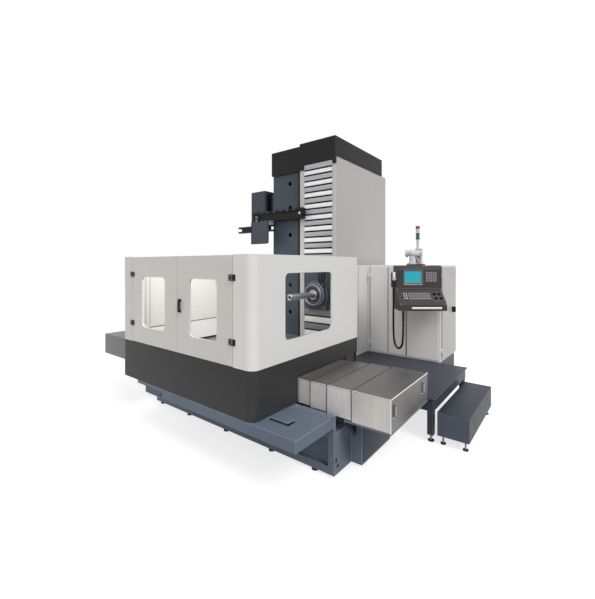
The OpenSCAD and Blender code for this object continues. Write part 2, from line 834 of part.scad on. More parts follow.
module quill() color([0.72, 0.73, 0.75]) place() difference() {
    bar_y(spindle_x, quill_tip, quill_tip + quill_l, spindle_z, quill_d / 2);
    bar_y(spindle_x, quill_tip - e, quill_tip + 60, spindle_z, 22);
    bar_y(spindle_x, quill_tip - e, quill_tip + 160, spindle_z, 13);
}

// Tool changer

module changer_housing() color([0.14, 0.15, 0.17]) place() {
    foot_high = arm_z + 160;
    span([box_left, box_front, foot_high], [box_right, box_back, box_high]);
    span([box_foot[0], box_front, box_low], [box_foot[1], box_front + box_foot_t, foot_high + 1]);
    span([box_right - e, box_tie_y[0], box_head_z[0]], [column_left, box_tie_y[1], box_head_z[1]]);
}

module changer_rail() color([0.09, 0.09, 0.1]) place() {
    edge = 40;
    span([rail_left, rail_front + 20, rail_z], [rail_right, box_front, rail_z + changer_rail_h]);
    for (z = [rail_z, rail_z + changer_rail_h - edge])
        span([rail_left, rail_front, z], [rail_right, rail_front + 21, z + edge]);
    for (x = rail_bracket[0])
        span([x, box_front - e, rail_z + 20],
            [x + rail_bracket[1], column_front, rail_z + changer_rail_h - 20]);
}

// Carriage on the rail, with a shroud before the arm on a fixed axle
module changer_carriage() color([0.2, 0.21, 0.23]) place() {
    slide = [arm_x - slide_half, arm_x + slide_half];
    tab = slide[0] + tab_w;
    keep = rail_z + 120;
    difference() {
        union() {
            span([slide[0], rail_front, slide_low], [slide[1], box_front - 10, rail_z - run_gap]);
            span([slide[0], rail_front - 24, slide_low], [slide[1], rail_front + 1, rail_z - run_gap]);
            span([slide[0], rail_front - 24, slide_low], [tab, rail_front - run_gap, keep]);
            span([slide[0], rail_front - 1, rail_z + 40 + run_gap], [tab, rail_front + 20 - run_gap, keep]);
        }
        bar_y(arm_x, rail_front - 25, box_front - 30, arm_z, hub_r + fit_gap);
    }
    shroud_y = arm_front - shroud_gap;
    bar_y(arm_x, shroud_y - 1, box_front - 29, arm_z, axle_r);
    translate([0, shroud_y, 0]) rotate([90, 0, 0]) linear_extrude(shroud_t) hull() {
        translate([shroud[0], shroud_z[0]]) square(10);
        translate([shroud[0], shroud_z[1] - 10]) square(10);
        translate([shroud[1] - 10, shroud_z[1] - 10]) square(10);
        translate([shroud[1] - 70, shroud_z[0] + 70]) circle(70);
    }
}

module changer_arm() color([0.3, 0.31, 0.33]) place() difference() {
    union() {
        bar_y(arm_x, arm_front, box_front - 31, arm_z, hub_r);
        span([arm_x - arm_half, arm_front, arm_z - arm_w / 2],
            [arm_x + arm_half, arm_front + arm_t, arm_z + arm_w / 2]);
    }
    bar_y(arm_x, arm_front - 1, box_front - 30, arm_z, axle_r + fit_gap);
    for (s = [-1, 1]) translate([arm_x + s * (arm_half - grip_w / 2 + 1), 0, arm_z])
        span([-grip_w / 2, arm_front - e, -grip_h / 2], [grip_w / 2, arm_front + arm_t + e, grip_h / 2]);
}

// Control cabinet, guard, platform

module cabinet() color([0.78, 0.79, 0.8]) place() {
    w = cabinet_wall;
    back = cabinet_y + cabinet_d;
    difference() {
        span([cabinet_left, cabinet_y, cabinet_bottom], [cabinet_right, back, cabinet_top]);
        span([cabinet_left + w, cabinet_y + w, cabinet_bottom + w],
            [cabinet_right - w, back - w, cabinet_top - w]);
        span([front_door[0] + w, cabinet_y - e, cab_door_low + w],
            [front_door[1] - w, cabinet_y + w + e, cab_door_high - w]);
        span([cabinet_right - w - e, side_door_y[0] + w, cab_door_low + w],
            [cabinet_right + e, side_door_y[1] - w, cab_door_high - w]);
    }
    at_cabinet_hinges() hinge_half_fixed();
}

// Hinge frames of the two cabinet doors: the front door's panel is towards +x, the side door's towards +y
module at_front_hinges() for (z = [cab_door_low + 150, cab_door_high - 150])
    translate([front_door[0], cabinet_y - cab_door_t - cab_gap - hinge_out, z]) mirror([1, 0, 0]) children();

module at_side_hinges() for (z = [cab_door_low + 150, cab_door_high - 150])
    translate([cabinet_right + cab_door_t + cab_gap + hinge_out, side_door_y[0], z])
        rotate([0, 0, 90]) mirror([1, 0, 0]) children();

module at_cabinet_hinges() {
    at_front_hinges() children();
    at_side_hinges() children();
}

// Fixed half of a cabinet hinge, standing on the frame behind the door
module hinge_half_fixed() {
    hinge_fixed();
    span([hinge_out + 1.5, hinge_out - 1, -hinge_h / 2], [38, hinge_out + cab_door_t + cab_gap, hinge_h / 2]);
}

module cabinet_plinth() color([0.13, 0.14, 0.16]) place()
    span([cabinet_left + 20, cabinet_y + 20, 0],
        [cabinet_right - 20, cabinet_y + cabinet_d - 20, cabinet_bottom]);

module cabinet_panels() color([0.8, 0.81, 0.82]) place() for (i = [0, 1])
    span([front_panel[i] + (i > 0 ? seam : 0), cabinet_y - cab_door_t, cab_door_low],
        [front_panel[i + 1], cabinet_y, cab_door_high]);

module cabinet_front_door() color([0.8, 0.81, 0.82]) place() {
    span([front_door[0] + seam / 2, cabinet_y - cab_door_t - cab_gap, cab_door_low],
        [front_door[1], cabinet_y - cab_gap, cab_door_high]);
    at_front_hinges() hinge_moving();
}

module cabinet_side_door() color([0.8, 0.81, 0.82]) place() {
    x = cabinet_right + cab_gap;
    span([x, side_door_y[0] + seam / 2, cab_door_low], [x + cab_door_t, side_door_y[1], cab_door_high]);
    span([x + cab_door_t, latch_y, latch_z[0]], [x + cab_door_t + latch_out, latch_y + 32, latch_z[1]]);
    at_side_hinges() hinge_moving();
}

module side_guard() color([0.8, 0.81, 0.82]) place()
    span([guard_x - guard_t, guard_y, deck_top], [guard_x, cabinet_y, cabinet_top]);

module platform() color([0.2, 0.23, 0.28]) place() {
    rim = 25;
    difference() {
        union() {
            span([5, deck_front, deck_top - 12], [deck_right, cabinet_y, deck_top]);
            span([guard_x - 60, 2010, deck_top - 12], [6, cabinet_y, deck_top]);
            span([5, deck_front + rim, deck_frame_z], [deck_right - rim, cabinet_y, deck_top - 11]);
            span([guard_x - 60, 2010, deck_frame_z], [6, cabinet_y, deck_top - 11]);
        }
        span([-618, 2050, deck_frame_z - e], [-60, cabinet_y - 60, deck_top - 12]);
        span([65, deck_front + rim + 60, deck_frame_z - e], [520, cabinet_y - 60, deck_top - 12]);
        span([580, deck_front + rim + 60, deck_frame_z - e],
            [deck_right - rim - 60, cabinet_y - 60, deck_top - 12]);
    }
    for (p = [[deck_right - 60, deck_front + 60], [deck_right - 60, cabinet_y - 60], [140, deck_front + 60],
            [-560, 2070], [-560, cabinet_y - 60]])
        translate([p[0] - leg_w / 2, p[1] - leg_w / 2, leg_bottom]) cube([leg_w, leg_w, 330]);
    // Ties to the column's bed
    for (y = [2300, 3300]) span([z_mid + z_bed_half, y, z_face - 60], [-618, y + 60, deck_frame_z + 10]);
}

module step_box() color([0.2, 0.23, 0.28]) place() {
    difference() {
        span([step_x, step_y, step_bottom], [step_x + step_w, step_y + step_l, step_top]);
        span([step_x + 12, step_y + 12, step_bottom - e],
            [step_x + step_w - 12, step_y + step_l - 12, step_top - 12]);
    }
    for (x = [step_x + 50, step_x + step_w - 50], y = [step_y + 60, step_y + step_l - 60])
        span([x - 40, y - 50, step_bottom], [x + 40, y + 50, step_bottom + 60]);
}

// Console and its arm

module console_arm() color([0.6, 0.62, 0.64]) place() {
    x = pivot_x;
    span([x - 75, post_y - 59, cabinet_top], [x + 75, post_y + 75, cabinet_top + 18]);
    for (sx = [-1, 1], sy = [-1, 1])
        translate([x + sx * 60, post_y + 8 + sy * 55, cabinet_top]) cylinder(r = 8, h = 28);
    span([x - post_w / 2, post_y - post_w / 2, cabinet_top], [x + post_w / 2, post_y + post_w / 2, post_top]);
    bar_y(x, pivot_y, post_y, tube_z, tube_r);
    bar_y(x, post_y - 75, post_y - 44, tube_z, tube_r + 22);
    translate([x, pivot_y, console_top + 20 + run_gap])
        cylinder(r = tube_r - 8, h = tube_z - console_top - 20);
    translate([x, pivot_y, console_top + 20 + run_gap]) cylinder(r = tube_r + 20, h = 22);
    translate([x, pivot_y, tube_z]) sphere(r = tube_r + 8);
    translate([x - 9, 0, 0]) rotate([90, 0, 90]) linear_extrude(18)
        polygon([[post_y - 40, 2100], [post_y - 40, 2215], [post_y - 200, 2215]]);
}

module at_tower() place() translate([pivot_x - 20, post_y, post_top]) children();

module tower_light() color([0.1, 0.1, 0.11]) at_tower() {
    cylinder(r = 27, h = 22);
    cylinder(r = 22, h = 162);
    translate([0, 0, 160]) cylinder(r = 31, h = 12);
    translate([0, 0, 250]) cylinder(r = 31, h = 12);
    translate([0, 0, 172]) cylinder(r = 10, h = 200);
    translate([0, 0, 336]) cylinder(r = 31, h = 46);
}

// One lens around the tower's stem
module lens(low, high) at_tower() translate([0, 0, low]) difference() {
    cylinder(r = 30, h = high - low);
    translate([0, 0, -e]) cylinder(r = 10 + run_gap, h = high - low + 2 * e);
}

module red_lens() color([0.85, 0.35, 0.33]) lens(262, 336);

module green_lens() color([0.25, 0.7, 0.45]) lens(172, 250);

module console() color([0.3, 0.29, 0.29]) at_console() {
    difference() {
        translate([console_left, 0, 0]) rotate([90, 0, 90]) linear_extrude(console_w)
            polygon([[face_y, console_top], [-50, console_top], [-50, 1480], [-110, console_low],
                [lip_y, console_low], [lip_y, lip_top], [face_y, knee_z]]);
        on_face(screen_z) translate([screen_x, 0, -8]) linear_extrude(9)
            square([screen_w, screen_h], center = true);
        on_desk() translate([stop_x, 0, -45]) cylinder(r = stop_r + fit_gap, h = 46);
    }
    span([-70, face_y, console_top - e], [70, 70, console_top + 20]);
    span([-317, pendant_y - pendant_t + 8, pendant_low + 40],
        [console_left + e, pendant_y - 4, pendant_high - 30]);
    translate(cord_route[21]) cylinder(r = boot_r, h = 21);
    span([lip_bar[0], lip_y - 26, lip_bar_z - 14], [lip_bar[1], lip_y - 12, lip_bar_z + 14]);
    for (x = [lip_bar[0] + 12, lip_bar[1] - 32])
        span([x, lip_y - 13, lip_bar_z - 8], [x + 20, lip_y + e, lip_bar_z + 8]);
}

module screen() color([0.45, 0.8, 0.85]) at_console() on_face(screen_z) translate([screen_x, 0, -8])
    linear_extrude(6) square([screen_w - 2 * pane_gap, screen_h - 2 * pane_gap], center = true);

module console_keys() color([0.2, 0.21, 0.23]) at_console() {
    on_face(screen_z) for (i = [0:4], j = [0:4])
        translate([160 + i * 34, 66 - j * 34, 0]) linear_extrude(4) square([26, 26], center = true);
    on_desk() {
        for (i = [0:8], j = [0, 1])
            translate([-175 + i * 42, 40 - j * 48, 0]) linear_extrude(5) square([30, 30], center = true);
        for (i = [0, 1], j = [0, 1]) translate([256 + i * 74, 62 - j * 88, 0]) cylinder(r = 25, h = 26);
    }
}

module stop_button() color([0.75, 0.1, 0.1]) at_console() on_desk() translate([stop_x, 0, 0]) {
    translate([0, 0, -38]) cylinder(r = stop_r, h = 50);
    translate([0, 0, stop_travel + 2]) cylinder(r = 20, h = 14);
}

module pendant() color([0.09, 0.09, 0.1]) at_console() difference() {
    union() {
        span([pendant_x - pendant_w / 2, pendant_y - pendant_t, pendant_low],
            [pendant_x + pendant_w / 2, pendant_y, pendant_high]);
        translate(cord_route[0]) cylinder(r = boot_r, h = pendant_low - cord_route[0][2] + e);
        translate([pendant_x - 20, pendant_y - 30, pendant_high - e]) cube([40, 15, 14]);
    }
    bar_y(pendant_x, pendant_y - pendant_t - e, pendant_y - pendant_t + 14, wheel_z, 6 + fit_gap);
}

module pendant_wheel() color([0.6, 0.61, 0.63]) at_console() {
    y = pendant_y - pendant_t;
    bar_y(pendant_x, y - 12, y - run_gap, wheel_z, wheel_r);
    bar_y(pendant_x, y - 1, y + 12, wheel_z, 6);
    bar_y(pendant_x + 18, y - 24, y - 11, wheel_z, 5);
}

// The pendant's cord: rings along a smooth curve through the route
cord_sides = 10;
cord_normal = [0.797, 0.604, 0];

function curve(a, b, c, d, t) = 0.5 * (2 * b + (c - a) * t + (2 * a - 5 * b + 4 * c - d) * t * t
    + (3 * b - a - 3 * c + d) * t * t * t);

function route_at(i) = let(n = len(cord_route) - 1) i < 0 ? 2 * cord_route[0] - cord_route[1]
    : i > n ? 2 * cord_route[n] - cord_route[n - 1] : cord_route[i];

cord_path = [for (i = [0:len(cord_route) - 2], t = [0, 0.5])
    curve(route_at(i - 1), route_at(i), route_at(i + 1), route_at(i + 2), t), route_at(len(cord_route) - 1)];

function unit(v) = v / norm(v);

function heading(i) = unit(cord_path[min(i + 1, len(cord_path) - 1)] - cord_path[max(i - 1, 0)]);

function ring(i) = let(h = i == 0 || i == len(cord_path) - 1 ? [0, 0, i == 0 ? -1 : 1] : heading(i),
    u = unit(cross(h, cord_normal)), w = cross(h, u))
    [for (k = [0:cord_sides - 1]) cord_path[i]
        + cord_d / 2 * (cos(k * 360 / cord_sides) * u + sin(k * 360 / cord_sides) * w)];

module pendant_cord() color([0.06, 0.06, 0.07]) at_console() {
    n = len(cord_path);
    m = cord_sides;
    polyhedron(points = [for (i = [0:n - 1]) each ring(i)],
        faces = concat([[for (k = [m - 1:-1:0]) k]],
            [for (i = [0:n - 2], k = [0:m - 1])
                [i * m + k, i * m + (k + 1) % m, (i + 1) * m + (k + 1) % m, (i + 1) * m + k]],
            [[for (k = [0:m - 1]) (n - 1) * m + k]]));
}

x_bed();
z_bed();
levelling_feet();
chip_tray();
guide_rails();
ball_screws();
right_panel();
left_panel();
skirt();
side_window();
door_hinges();
left_door();
left_door_window();
right_door();
right_door_window();
door_handle();
right_cover_1();
right_cover_2();
right_cover_3();
right_cover_4();
right_cover_5();
left_hood();
left_cover_1();
left_cover_2();
left_cover_3();
saddle();
rotary_table();
column();
column_cap();
column_panel();
apron_guides();
upper_apron();
lower_apron();
column_rails();
headstock();
spindle_nose();
quill();
changer_housing();
changer_rail();
changer_carriage();
changer_arm();
cabinet();
cabinet_plinth();
cabinet_panels();
cabinet_front_door();
cabinet_side_door();
side_guard();
platform();
step_box();
console_arm();
tower_light();
red_lens();
green_lens();
console();
screen();
console_keys();
stop_button();
pendant();
pendant_wheel();
pendant_cord();
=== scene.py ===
import math
import bpy
import numpy as np
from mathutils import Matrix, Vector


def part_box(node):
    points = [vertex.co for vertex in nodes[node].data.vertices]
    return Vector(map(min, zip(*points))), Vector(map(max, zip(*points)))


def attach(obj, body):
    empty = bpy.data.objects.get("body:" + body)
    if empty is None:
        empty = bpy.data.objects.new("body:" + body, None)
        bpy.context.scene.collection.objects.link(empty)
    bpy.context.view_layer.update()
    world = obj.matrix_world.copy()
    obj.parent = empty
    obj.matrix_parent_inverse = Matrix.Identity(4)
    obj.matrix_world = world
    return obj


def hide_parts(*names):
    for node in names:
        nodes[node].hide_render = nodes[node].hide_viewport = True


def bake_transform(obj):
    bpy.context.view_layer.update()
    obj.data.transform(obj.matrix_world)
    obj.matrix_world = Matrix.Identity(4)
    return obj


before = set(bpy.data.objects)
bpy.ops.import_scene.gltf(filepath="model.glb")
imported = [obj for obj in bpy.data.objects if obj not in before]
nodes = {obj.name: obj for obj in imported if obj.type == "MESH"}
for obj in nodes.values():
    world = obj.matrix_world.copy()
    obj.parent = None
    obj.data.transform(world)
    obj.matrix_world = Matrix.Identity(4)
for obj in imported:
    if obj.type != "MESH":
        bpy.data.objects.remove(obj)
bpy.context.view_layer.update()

# The enclosure's near corner on the floor is the zero of every place below, in millimetres
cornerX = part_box("right_panel")[1][0]
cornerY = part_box("right_panel")[0][1]


def spot(x, y, z):
    return np.array([cornerX + x / 1000, cornerY + y / 1000, z / 1000])


view = {
    "place": (2303, -2295, 2080),   # mm from the enclosure's near corner
    "turn": 37.832,                 # degrees about the vertical
    "lens": 21.164,
    "lift": -0.0591,
}

camera = bpy.data.objects.new("camera", bpy.data.cameras.new("camera"))
bpy.context.collection.objects.link(camera)
camera.location = spot(*view["place"])
camera.rotation_euler = (math.pi / 2, 0, math.radians(view["turn"]))
camera.data.lens = view["lens"]
camera.data.sensor_width = 36
camera.data.sensor_fit = "AUTO"
camera.data.shift_y = view["lift"]
camera.data.clip_end = 100
bpy.context.scene.camera = camera
bpy.context.scene.view_settings.view_transform = "Standard"

studio = {
    "worldLight": 0.50,
    "suns": {
        # name: (way towards the light, strength, width in degrees)
        "keySun": ((0.66, -0.16, 0.73), 1.66, 26),
        "fillSun": ((0.1, -0.82, 0.56), 0.74, 40),
    },
    "workLamp": ((-1100, 900, 2450), (-2300, 1000, 1500), 1.2, 26),     # place, target, width, power
    "floorSize": 60,
    "floorShade": 0.42,
    "floorGlow": 0.72,              # lifts the floor to white where it is looked at
}


def aimed(way):
    # The turn of a lamp that shines from the given way: tilted from the vertical, then turned about it
    return (math.acos(way[2] / np.linalg.norm(way)), 0, math.atan2(way[1], way[0]) + math.pi / 2)


def addSun(name, way, strength, width):
    data = bpy.data.lights.new(name, "SUN")
    data.energy = strength
    data.angle = math.radians(width)
    sun = bpy.data.objects.new(name, data)
    bpy.context.collection.objects.link(sun)
    sun.location = spot(*(5000 * np.array(way)))
    sun.rotation_euler = aimed(way)


for sunName, sunValues in studio["suns"].items():
    addSun(sunName, *sunValues)


def addWorkLamp():
    # A lamp inside the enclosure, aimed at the walls seen through the door windows
    place, target, size, power = studio["workLamp"]
    data = bpy.data.lights.new("workLamp", "AREA")
    data.shape = "DISK"
    data.size = size
    data.energy = power
    lamp = bpy.data.objects.new("workLamp", data)
    bpy.context.collection.objects.link(lamp)
    lamp.location = spot(*place)
    lamp.visible_camera = False
    lamp.rotation_euler = aimed(place - np.array(target, float))


addWorkLamp()


def setInputs(node, values):
    for label, value in values.items():
        node.inputs[label].default_value = value


def mathNode(tree, operation, a, b):
    step = tree.nodes.new("ShaderNodeMath")
    step.operation = operation
    for socket, value in zip(step.inputs, (a, b)):
        if isinstance(value, (int, float)):
            socket.default_value = value
        else:
            tree.links.new(value, socket)
    return step.outputs[0]


def seenDirectly(tree):
    # 1 where a camera, mirror or glass ray looks, 0 for light that falls on the object
    path = tree.nodes.new("ShaderNodeLightPath")
    looked = mathNode(tree, "MAXIMUM", path.outputs["Is Camera Ray"], path.outputs["Is Glossy Ray"])
    return mathNode(tree, "MAXIMUM", looked, path.outputs["Is Transmission Ray"])


finishes = {}       # material by name, filled by newFinish


def newFinish(name):
    finishes[name] = bpy.data.materials.new(name)
    finishes[name].use_nodes = True
    tree = finishes[name].node_tree
    return tree, tree.nodes["Principled BSDF"]


def dressWorld():
    world = bpy.data.worlds.new("studio")
    bpy.context.scene.world = world
    world.use_nodes = True
    tree = world.node_tree
    ground = tree.nodes["Background"]
    setInputs(ground, {"Color": (1, 1, 1, 1)})
    mix = tree.nodes.new("ShaderNodeMix")
    setInputs(mix, {"A": studio["worldLight"], "B": 1.0})
    tree.links.new(seenDirectly(tree), mix.inputs["Factor"])
    tree.links.new(mix.outputs["Result"], ground.inputs["Strength"])


def addFloor():
    half = studio["floorSize"] / 2
    mesh = bpy.data.meshes.new("floor")
    corners = [(-half, -half, 0), (half, -half, 0), (half, half, 0), (-half, half, 0)]
    mesh.from_pydata(corners, [], [(0, 1, 2, 3)])
    floor = bpy.data.objects.new("floor", mesh)
    bpy.context.collection.objects.link(floor)
    tree, body = newFinish("floorWhite")
    white = studio["floorShade"]
    setInputs(body, {"Base Color": (white, white, white, 1), "Roughness": 0.9, "Specular IOR Level": 0.1,
                     "Emission Color": (1, 1, 1, 1)})
    glow = mathNode(tree, "MULTIPLY", seenDirectly(tree), studio["floorGlow"])
    tree.links.new(glow, body.inputs["Emission Strength"])
    mesh.materials.append(finishes["floorWhite"])


dressWorld()
addFloor()
print("studio ready")


def joined(parts):
    # Several (points, faces) shapes as one
    points, faces, count = [], [], 0
    for shapePoints, shapeFaces in parts:
        points.append(shapePoints)
        faces += [[i + count for i in face] for face in shapeFaces]
        count += len(shapePoints)
    return np.concatenate(points), faces


sharpFrom = math.radians(35)        # a smooth piece keeps a sharp edge where faces part by more


def addPiece(name, shape, finish, body, smooth=True):
    # A (points, faces) shape, or a list of them in one piece, that rides on a body
    points, faces = joined(shape) if isinstance(shape, list) else shape
    mesh = bpy.data.meshes.new(name)
    mesh.from_pydata(points.tolist(), [], faces)
    mesh.polygons.foreach_set("use_smooth", np.full(len(mesh.polygons), smooth))
    if smooth:
        mesh.set_sharp_from_angle(angle=sharpFrom)
    mesh.materials.append(finishes[finish])
    mesh.update()
    piece = bpy.data.objects.new(name, mesh)
    bpy.context.collection.objects.link(piece)
    if body:
        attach(piece, body)
    return piece


def skinFaces(rows, columns):
    # Quads between neighbouring rings of equal length
    k, i = np.meshgrid(np.arange(rows - 1), np.arange(columns), indexing="ij")
    j = (i + 1) % columns
    quads = np.stack([k * columns + i, k * columns + j, (k + 1) * columns + j, (k + 1) * columns + i], -1)
    return quads.reshape(-1, 4)


def closedStack(rings):
    # Rings of points (rows, columns, 3) joined by quads, and both ends closed by one flat face each
    rows, columns = rings.shape[:2]
    faces = skinFaces(rows, columns).tolist()
    faces.append(list(range(columns))[::-1])
    faces.append(list(range((rows - 1) * columns, rows * columns)))
    return rings.reshape(-1, 3), faces


def cornerLoop(width, height, radius, inset, z, steps=5):
    # A rounded rectangle at height z, drawn in by the inset, counter-clockwise: four quarter arcs of the
    # radius about the four corner centres
    width, height = width - 2 * inset, height - 2 * inset
    radius = min(max(radius - inset, 0.4), width / 2 - 0.01, height / 2 - 0.01)
    angle = np.radians(np.linspace(0, 90, steps + 1))
    turns = [(1, 1, 0), (-1, 1, 90), (-1, -1, 180), (1, -1, 270)]
    arcs = [
        np.stack([
            sx * (width / 2 - radius) + radius * np.cos(angle + np.radians(turn)),
            sy * (height / 2 - radius) + radius * np.sin(angle + np.radians(turn)),
        ], -1)
        for sx, sy, turn in turns
    ]
    loop = np.concatenate(arcs)
    return np.column_stack([loop, np.full(len(loop), z)])


def softBlock(width, height, depth, radius, edge=2.0):
    # A rounded rectangle carried along z, drawn in by a quarter round at its upper end; base on z = 0
    edge = min(edge, depth / 2, width / 4, height / 4)
    bend = np.radians([0, 30, 60, 90])
    levels = [(0.0, 0.0)] + [(edge * (1 - math.cos(a)), depth - edge + edge * math.sin(a)) for a in bend]
    return closedStack(np.array([cornerLoop(width, height, radius, draw, z) for draw, z in levels]))


def spun(profile, sides):
    # The rings that the (radius, z) points of a profile draw about z
    profile = np.array(profile, float)
    angle = np.linspace(0, 2 * math.pi, sides, endpoint=False)
    return np.stack([profile[:, :1] * np.cos(angle), profile[:, :1] * np.sin(angle),
                     np.repeat(profile[:, 1:], sides, 1)], -1)


def turned(profile, sides=32):
    # A (radius, z) profile turned about z; the profile starts and ends on the axis
    return closedStack(spun(profile[1:-1], sides))


slant = (0.31, 0.17, 0.93)      # a way that no path takes, from which a tube's first ring is set


def tube(path, radius, sides=12):
    # A circle carried along a path, each ring square to the path's heading
    path = np.asarray(path, float)
    heading = np.gradient(path, axis=0)
    heading /= np.linalg.norm(heading, axis=1)[:, None]
    side = np.cross(heading, slant)
    for i in range(len(path)):
        if i:
            side[i] = side[i - 1] - heading[i] * np.dot(side[i - 1], heading[i])
        side[i] /= np.linalg.norm(side[i])
    other = np.cross(heading, side)
    angle = np.linspace(0, 2 * math.pi, sides, endpoint=False)
    radius = np.broadcast_to(np.asarray(radius, float), (len(path),))
    ring = np.cos(angle)[None, :, None] * side[:, None] + np.sin(angle)[None, :, None] * other[:, None]
    return closedStack(path[:, None] + radius[:, None, None] * ring)


def smoothPath(points, steps=8):
    # A Catmull-Rom curve through the points
    p = np.asarray(points, float)
    p = np.vstack([2 * p[0] - p[1], p, 2 * p[-1] - p[-2]])
    t = np.linspace(0, 1, steps, endpoint=False)[:, None]
    runs = [
        0.5 * (2 * b + (c - a) * t + (2 * a - 5 * b + 4 * c - d) * t**2 + (3 * b - a - 3 * c + d) * t**3)
        for a, b, c, d in zip(p[:-3], p[1:-2], p[2:-1], p[3:])
    ]
    return np.vstack(runs + [p[-2:-1]])


# Seats on the machine's faces: the way to the right and the way up
frontSeat = ((1, 0, 0), (0, 0, 1))      # out towards -y
rearSeat = ((-1, 0, 0), (0, 0, 1))      # out towards +y
sideSeat = ((0, 1, 0), (0, 0, 1))       # out towards +x
topSeat = ((1, 0, 0), (0, 1, 0))        # out towards +z


def seated(shape, place, seat=frontSeat):
    # Moves a shape drawn in x, y, z to a seat on the machine: x to the right, y up, z out of the surface
    right, up = np.array(seat, float)
    axes = np.stack([right, up, np.cross(right, up)])
    points, faces = shape
    return spot(*place) + points / 1000 @ axes, faces


def outward(shape):
    # Turns a closed shape's faces outwards: the sum of the signed volumes under its faces tells
    # which way they point
    points, faces = shape
    points = np.asarray(points, float).reshape(-1, 3)
    volume = 0.0
    for count in {len(face) for face in faces}:
        fan = np.array([face for face in faces if len(face) == count])
        for k in range(1, count - 1):
            a, b, c = points[fan[:, 0]], points[fan[:, k]], points[fan[:, k + 1]]
            volume += np.einsum("ij,ij->i", a, np.cross(b, c)).sum()
    if volume < 0:
        faces = [face[::-1] for face in faces]
    return points, faces


def closedRound(rings):
    # Rings of points joined by quads, and the last one joined to the first
    rows, columns = rings.shape[:2]
    faces = skinFaces(rows + 1, columns) % (rows * columns)
    return outward((rings.reshape(-1, 3), faces.tolist()))


def framed(width, height, radius, profile, steps=5):
    # A closed profile of (inset, z) points carried round a rounded rectangle
    rings = [cornerLoop(width, height, radius, inset, z, steps) for inset, z in profile]
    return closedRound(np.array(rings))


def washer(profile, sides=64):
    # A closed (radius, z) profile that doesn't touch the axis, turned about z
    return closedRound(spun(profile, sides))


def carried(profile, length):
    # A closed profile of (y, z) points carried along x, from 0 to the length, with flat ends
    profile = np.asarray(profile, float)
    ends = [np.column_stack([np.full(len(profile), x), profile]) for x in (0.0, length)]
    return outward(closedStack(np.array(ends)))


def hexHead(radius, height, shoulder=0.8, top=0.84):
    # A six-sided profile turned about z, drawn in from the shoulder's share of the height to the top's share
    # of the radius
    return turned([(0, 0), (radius, 0), (radius, shoulder * height), (top * radius, height), (0, height)], 6)


def spread(shape, places, seat=frontSeat):
    # The same shape at several places on one seat
    return joined([seated(shape, place, seat) for place in places])


def tone(red, green, blue):
    # Screen colour, 0 to 255, as linear light
    value = np.array([red, green, blue]) / 255
    linear = np.where(value <= 0.04045, value / 12.92, ((value + 0.055) / 1.055) ** 2.4)
    return (*linear.tolist(), 1.0)


def newGroup(name, inputs, outputs):
    group = bpy.data.node_groups.new(name, "ShaderNodeTree")
    for label, kind, value in inputs:
        socket = group.interface.new_socket(name=label, in_out="INPUT", socket_type=kind)
        socket.default_value = value
    for label, kind in outputs:
        group.interface.new_socket(name=label, in_out="OUTPUT", socket_type=kind)
    start = group.nodes.new("NodeGroupInput")
    end = group.nodes.new("NodeGroupOutput")
    return group, start, end


def colourMix(tree, factor, a, b):
    mix = tree.nodes.new("ShaderNodeMix")
    mix.data_type = "RGBA"
    colourIn = [s for s in mix.inputs if s.type == "RGBA"]
    for socket, value in ((mix.inputs[0], factor), (colourIn[0], a), (colourIn[1], b)):
        if isinstance(value, (int, float, tuple)):
            socket.default_value = value
        else:
            tree.links.new(value, socket)
    return [s for s in mix.outputs if s.type == "RGBA"][0]


skinValues = {
    "cloudScale": 2.3, "streakScale": 9,
    "dustHeight": 1.1,                      # metres above the floor, where the dust ends
    # the worn colour is also a painted highlight along the edges
    "dustColour": (0.36, 0.34, 0.31, 1), "wornAndHighlightColour": (0.62, 0.66, 0.72, 1),
    "edgeLineFrom": 0.985, "edgeLineTo": 0.8,         # cosine between the rounded and the flat normal
    "edgeLineEven": 0.4,                         # the edge line where there is no streak
    "roughness": (0.3, 0.16, 0.6),          # everywhere, by the streaks, by the dust
}

grainValues = {
    "detail": 4, "rough": 0.65,
    "smearScale": 3.4, "smearBend": 0.6,
    "roughness": (0.36, 0.5, 0.3),          # everywhere, by the smears, by the grain's lines
}


def noiseNode(tree, scale, detail):
    noise = tree.nodes.new("ShaderNodeTexNoise")
    setInputs(noise, {"Scale": scale, "Detail": detail})
    return noise


def swing(tree, noise, strength):
    # Noise about zero, times a strength
    return mathNode(tree, "MULTIPLY", mathNode(tree, "SUBTRACT", noise.outputs[0], 0.5), strength)


def brightened(tree, colour, change):
    # A colour made lighter where the change is above zero and darker where it is below
    bright = tree.nodes.new("ShaderNodeHueSaturation")
    tree.links.new(colour, bright.inputs["Color"])
    tree.links.new(mathNode(tree, "ADD", change, 1.0), bright.inputs["Value"])
    return bright.outputs[0]


def mapped(tree, value, start, end):
    # 0 at the start and before it, 1 at the end and past it
    span = tree.nodes.new("ShaderNodeMapRange")
    setInputs(span, {"From Min": start, "From Max": end})
    tree.links.new(value, span.inputs["Value"])
    return span.outputs[0]


